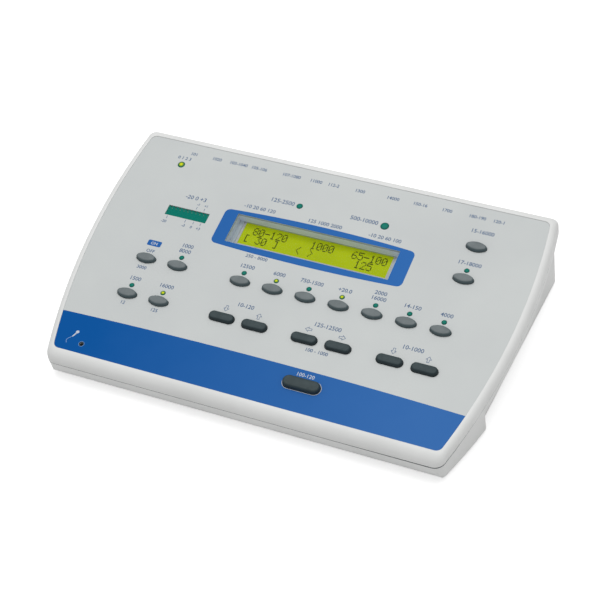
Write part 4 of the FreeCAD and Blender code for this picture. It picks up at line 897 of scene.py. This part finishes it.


# Unlit resin looks teal and nearly even. Lit resin is bright in the middle and green at the rim.
# The unlit resin's faint glow is painted light.
off_epoxy = epoxy("teal_cast_epoxy", [(0.0, "067A6A"), (0.6, "0A7263"), (1.0, "0F5A52")], 0.05)
lit_epoxy = epoxy("lit_yellow_green_epoxy", [(0.0, "CCD810"), (0.4, "A9B40A"), (0.62, "5F7A28"),
                                             (0.85, "145B46")], 0.3)
for name, keys, resin, slot in (("indicator_leds", UNLIT, off_epoxy, "led_unlit"),
                                ("lit_leds", LIT, lit_epoxy, "led_lit")):
    lamps = [lamp(OVALS[key][0], OVALS[key][1] + LED_OFFSET, LED_RADIUS) for key in keys]
    piece(name + "_lamps", *merged([made[:2] for made in lamps]), resin, "case", [name], slot,
          sharp=50, reach=np.concatenate([made[2] for made in lamps]))
for name, (u, v, radius) in SINGLE_LEDS.items():
    lit = name == "power_led"
    points, faces, reach = lamp(u, v, radius)
    piece(name + "_lamp", points, faces, lit_epoxy if lit else off_epoxy, "case", [name],
          "led_lit" if lit else "led_unlit", sharp=50, reach=reach)

# ---- Sockets at the rear -------------------------------------------------------------------
# Black nylon jacks with nickel-plated nuts, a plated USB shell, a round data socket and a power
# inlet. They stand on the main board, and the nuts hold the jacks to the rear wall.

# Moulded nylon looks near black, with a soft sheen.
black_nylon = moulded("black_moulded_nylon", "17181A", "222426", patch_mm=8, grain_mm=0.4,
                      grain_depth_mm=0.01, roughness=0.4)
# Bright nickel mirrors its surroundings, slightly blurred.
nickel = moulded("bright_nickel_plate", "BDBFC0", "CBCDCE", patch_mm=5, grain_mm=0.3,
                 grain_depth_mm=0.002, roughness=0.2, spread=0.05, metallic=1.0)
recoat(["large_jacks", "small_jacks", "data_socket", "power_socket"], black_nylon)
recoat(["large_jack_nuts", "small_jack_nuts", "usb_socket"], nickel)

# ---- Inside the case -----------------------------------------------------------------------
# Boards of glass fibre with a green solder mask, black moulded packages and switches soldered to
# them, and zinc-plated screws that hold the boards and the two halves of the case.

# Solder mask looks deep green and fairly glossy.
solder_mask = moulded("green_solder_mask", "17502B", "1F6337", patch_mm=5, grain_mm=0.5,
                      grain_depth_mm=0.01, roughness=0.35)
recoat(["lcd_board", "keypad_board", "main_board"], solder_mask)
# Moulded epoxy looks charcoal and dull.
epoxy_black = moulded("black_epoxy_package", "1B1C1E", "26282B", patch_mm=4, grain_mm=0.3,
                      grain_depth_mm=0.01, roughness=0.55)
recoat(["board_chips", "board_connector", "key_switches"], epoxy_black)
# Zinc plate looks cool grey, with half-clear highlights.
zinc = moulded("zinc_plated_steel", "A3A6A8", "B4B7B9", patch_mm=3, grain_mm=0.3,
               grain_depth_mm=0.004, roughness=0.32, metallic=1.0)
recoat(["keypad_screws", "lcd_screws", "main_board_screws", "case_screws"], zinc)

# ---- Feet, and the microphone with its boot ------------------------------------------------
# Four feet stuck in recesses of the base, and a boot, all moulded in black rubber. The boot
# holds the microphone under its hole in the deck, which a disc of black dust cloth closes.
DUST_CLOTH, CLOTH_LOW, CLOTH_TOP = 0.97, -0.9, -0.55

# Rubber looks charcoal, quite matt, with a dusty bloom.
rubber = moulded("black_moulded_rubber", "1E1F20", "2C2D2E", patch_mm=4, grain_mm=0.6,
                 grain_depth_mm=0.03, roughness=0.75)
# Felt is a black without any highlight. It covers the microphone's can as well.
felt = moulded("black_felt_and_can", "101112", "1A1B1C", patch_mm=2, grain_mm=0.3,
               grain_depth_mm=0.05, roughness=0.9, spread=0.03, ior=1.3)
recoat(["microphone"], felt)
piece("microphone_dust_cloth",
      *plate("microphone_dust_cloth", [circle(*MIC, DUST_CLOTH)], CLOTH_LOW, CLOTH_TOP),
      felt, "case", slot="black_rubber", sharp=30)
recoat(["microphone_boot", "foot_front_left", "foot_front_right", "foot_rear_left",
        "foot_rear_right"], rubber)

# ---- Room, lamps and camera ----------------------------------------------------------------
# A pale sheet under the console, even light from all sides, and one broad soft lamp above.
FLOOR_HALF, SHEET_GLOW, ROOM_LIGHT, BACKDROP_WHITE = 3, 0.62, 0.53, 1.0
floor_mesh = bpy.data.meshes.new("floor_sheet")
floor_mesh.from_pydata([(-FLOOR_HALF, -FLOOR_HALF, 0), (FLOOR_HALF, -FLOOR_HALF, 0),
                        (FLOOR_HALF, FLOOR_HALF, 0), (-FLOOR_HALF, FLOOR_HALF, 0)], [],
                       [(0, 1, 2, 3)])
floor = bpy.data.objects.new("floor_sheet", floor_mesh)
bpy.context.scene.collection.objects.link(floor)
# Matt white paper that still takes the console's soft shadow, and looks white round it.
paper = bpy.data.materials.new("white_paper_sheet")
paper.use_nodes = True
tree = paper.node_tree
shader = tree.nodes["Principled BSDF"]
shader.inputs["Base Color"].default_value = linear("D8D8D8")
shader.inputs["Roughness"].default_value = 0.9
rays = node(paper, "LightPath")
seen = node(paper, "Math", {0: rays.outputs["Is Camera Ray"], 1: rays.outputs["Is Glossy Ray"]},
            operation="MAXIMUM").outputs[0]
glow = node(paper, "Emission", {"Color": linear("FFFFFF"), "Strength": SHEET_GLOW})
both = node(paper, "AddShader", {0: shader.outputs["BSDF"], 1: glow.outputs[0]})
mixed = node(paper, "MixShader", {"Fac": seen, 1: shader.outputs["BSDF"], 2: both.outputs[0]})
tree.links.new(mixed.outputs[0], tree.nodes["Material Output"].inputs["Surface"])
floor_mesh.materials.append(paper)

world = bpy.data.worlds.new("even_studio_light")
bpy.context.scene.world = world
world.use_nodes = True
backdrop = world.node_tree.nodes["Background"]
rays = node(world, "LightPath")
level = node(world, "Mix", {"Factor": rays.outputs["Is Camera Ray"], 2: ROOM_LIGHT,
                            3: BACKDROP_WHITE})
backdrop.inputs["Color"].default_value = (1, 1, 1, 1)
world.node_tree.links.new(level.outputs[0], backdrop.inputs["Strength"])

lamp_data = bpy.data.lights.new("broad_soft_lamp", "AREA")
lamp_data.shape = "RECTANGLE"
lamp_data.size, lamp_data.size_y = 1.6, 1.2
lamp_data.energy = 14.0
soft_lamp = bpy.data.objects.new("broad_soft_lamp", lamp_data)
bpy.context.scene.collection.objects.link(soft_lamp)
soft_lamp.location = (-0.12, 0.15, 1.6)
soft_lamp.rotation_euler = (math.radians(-5.5), math.radians(-4.3), 0)

camera_data = bpy.data.cameras.new("camera")
camera = bpy.data.objects.new("camera", camera_data)
bpy.context.scene.collection.objects.link(camera)
bpy.context.scene.camera = camera
camera.location = (0.30953, -0.64535, 0.64706)
camera.rotation_euler = (0.848638, 0.044744, 0.404465)
camera_data.lens, camera_data.sensor_width = 98.114, 36.0
camera_data.shift_x, camera_data.shift_y = -0.00667, 0.00667
camera_data.clip_start, camera_data.clip_end = 0.01, 20.0

bpy.context.scene.view_settings.view_transform = "Standard"
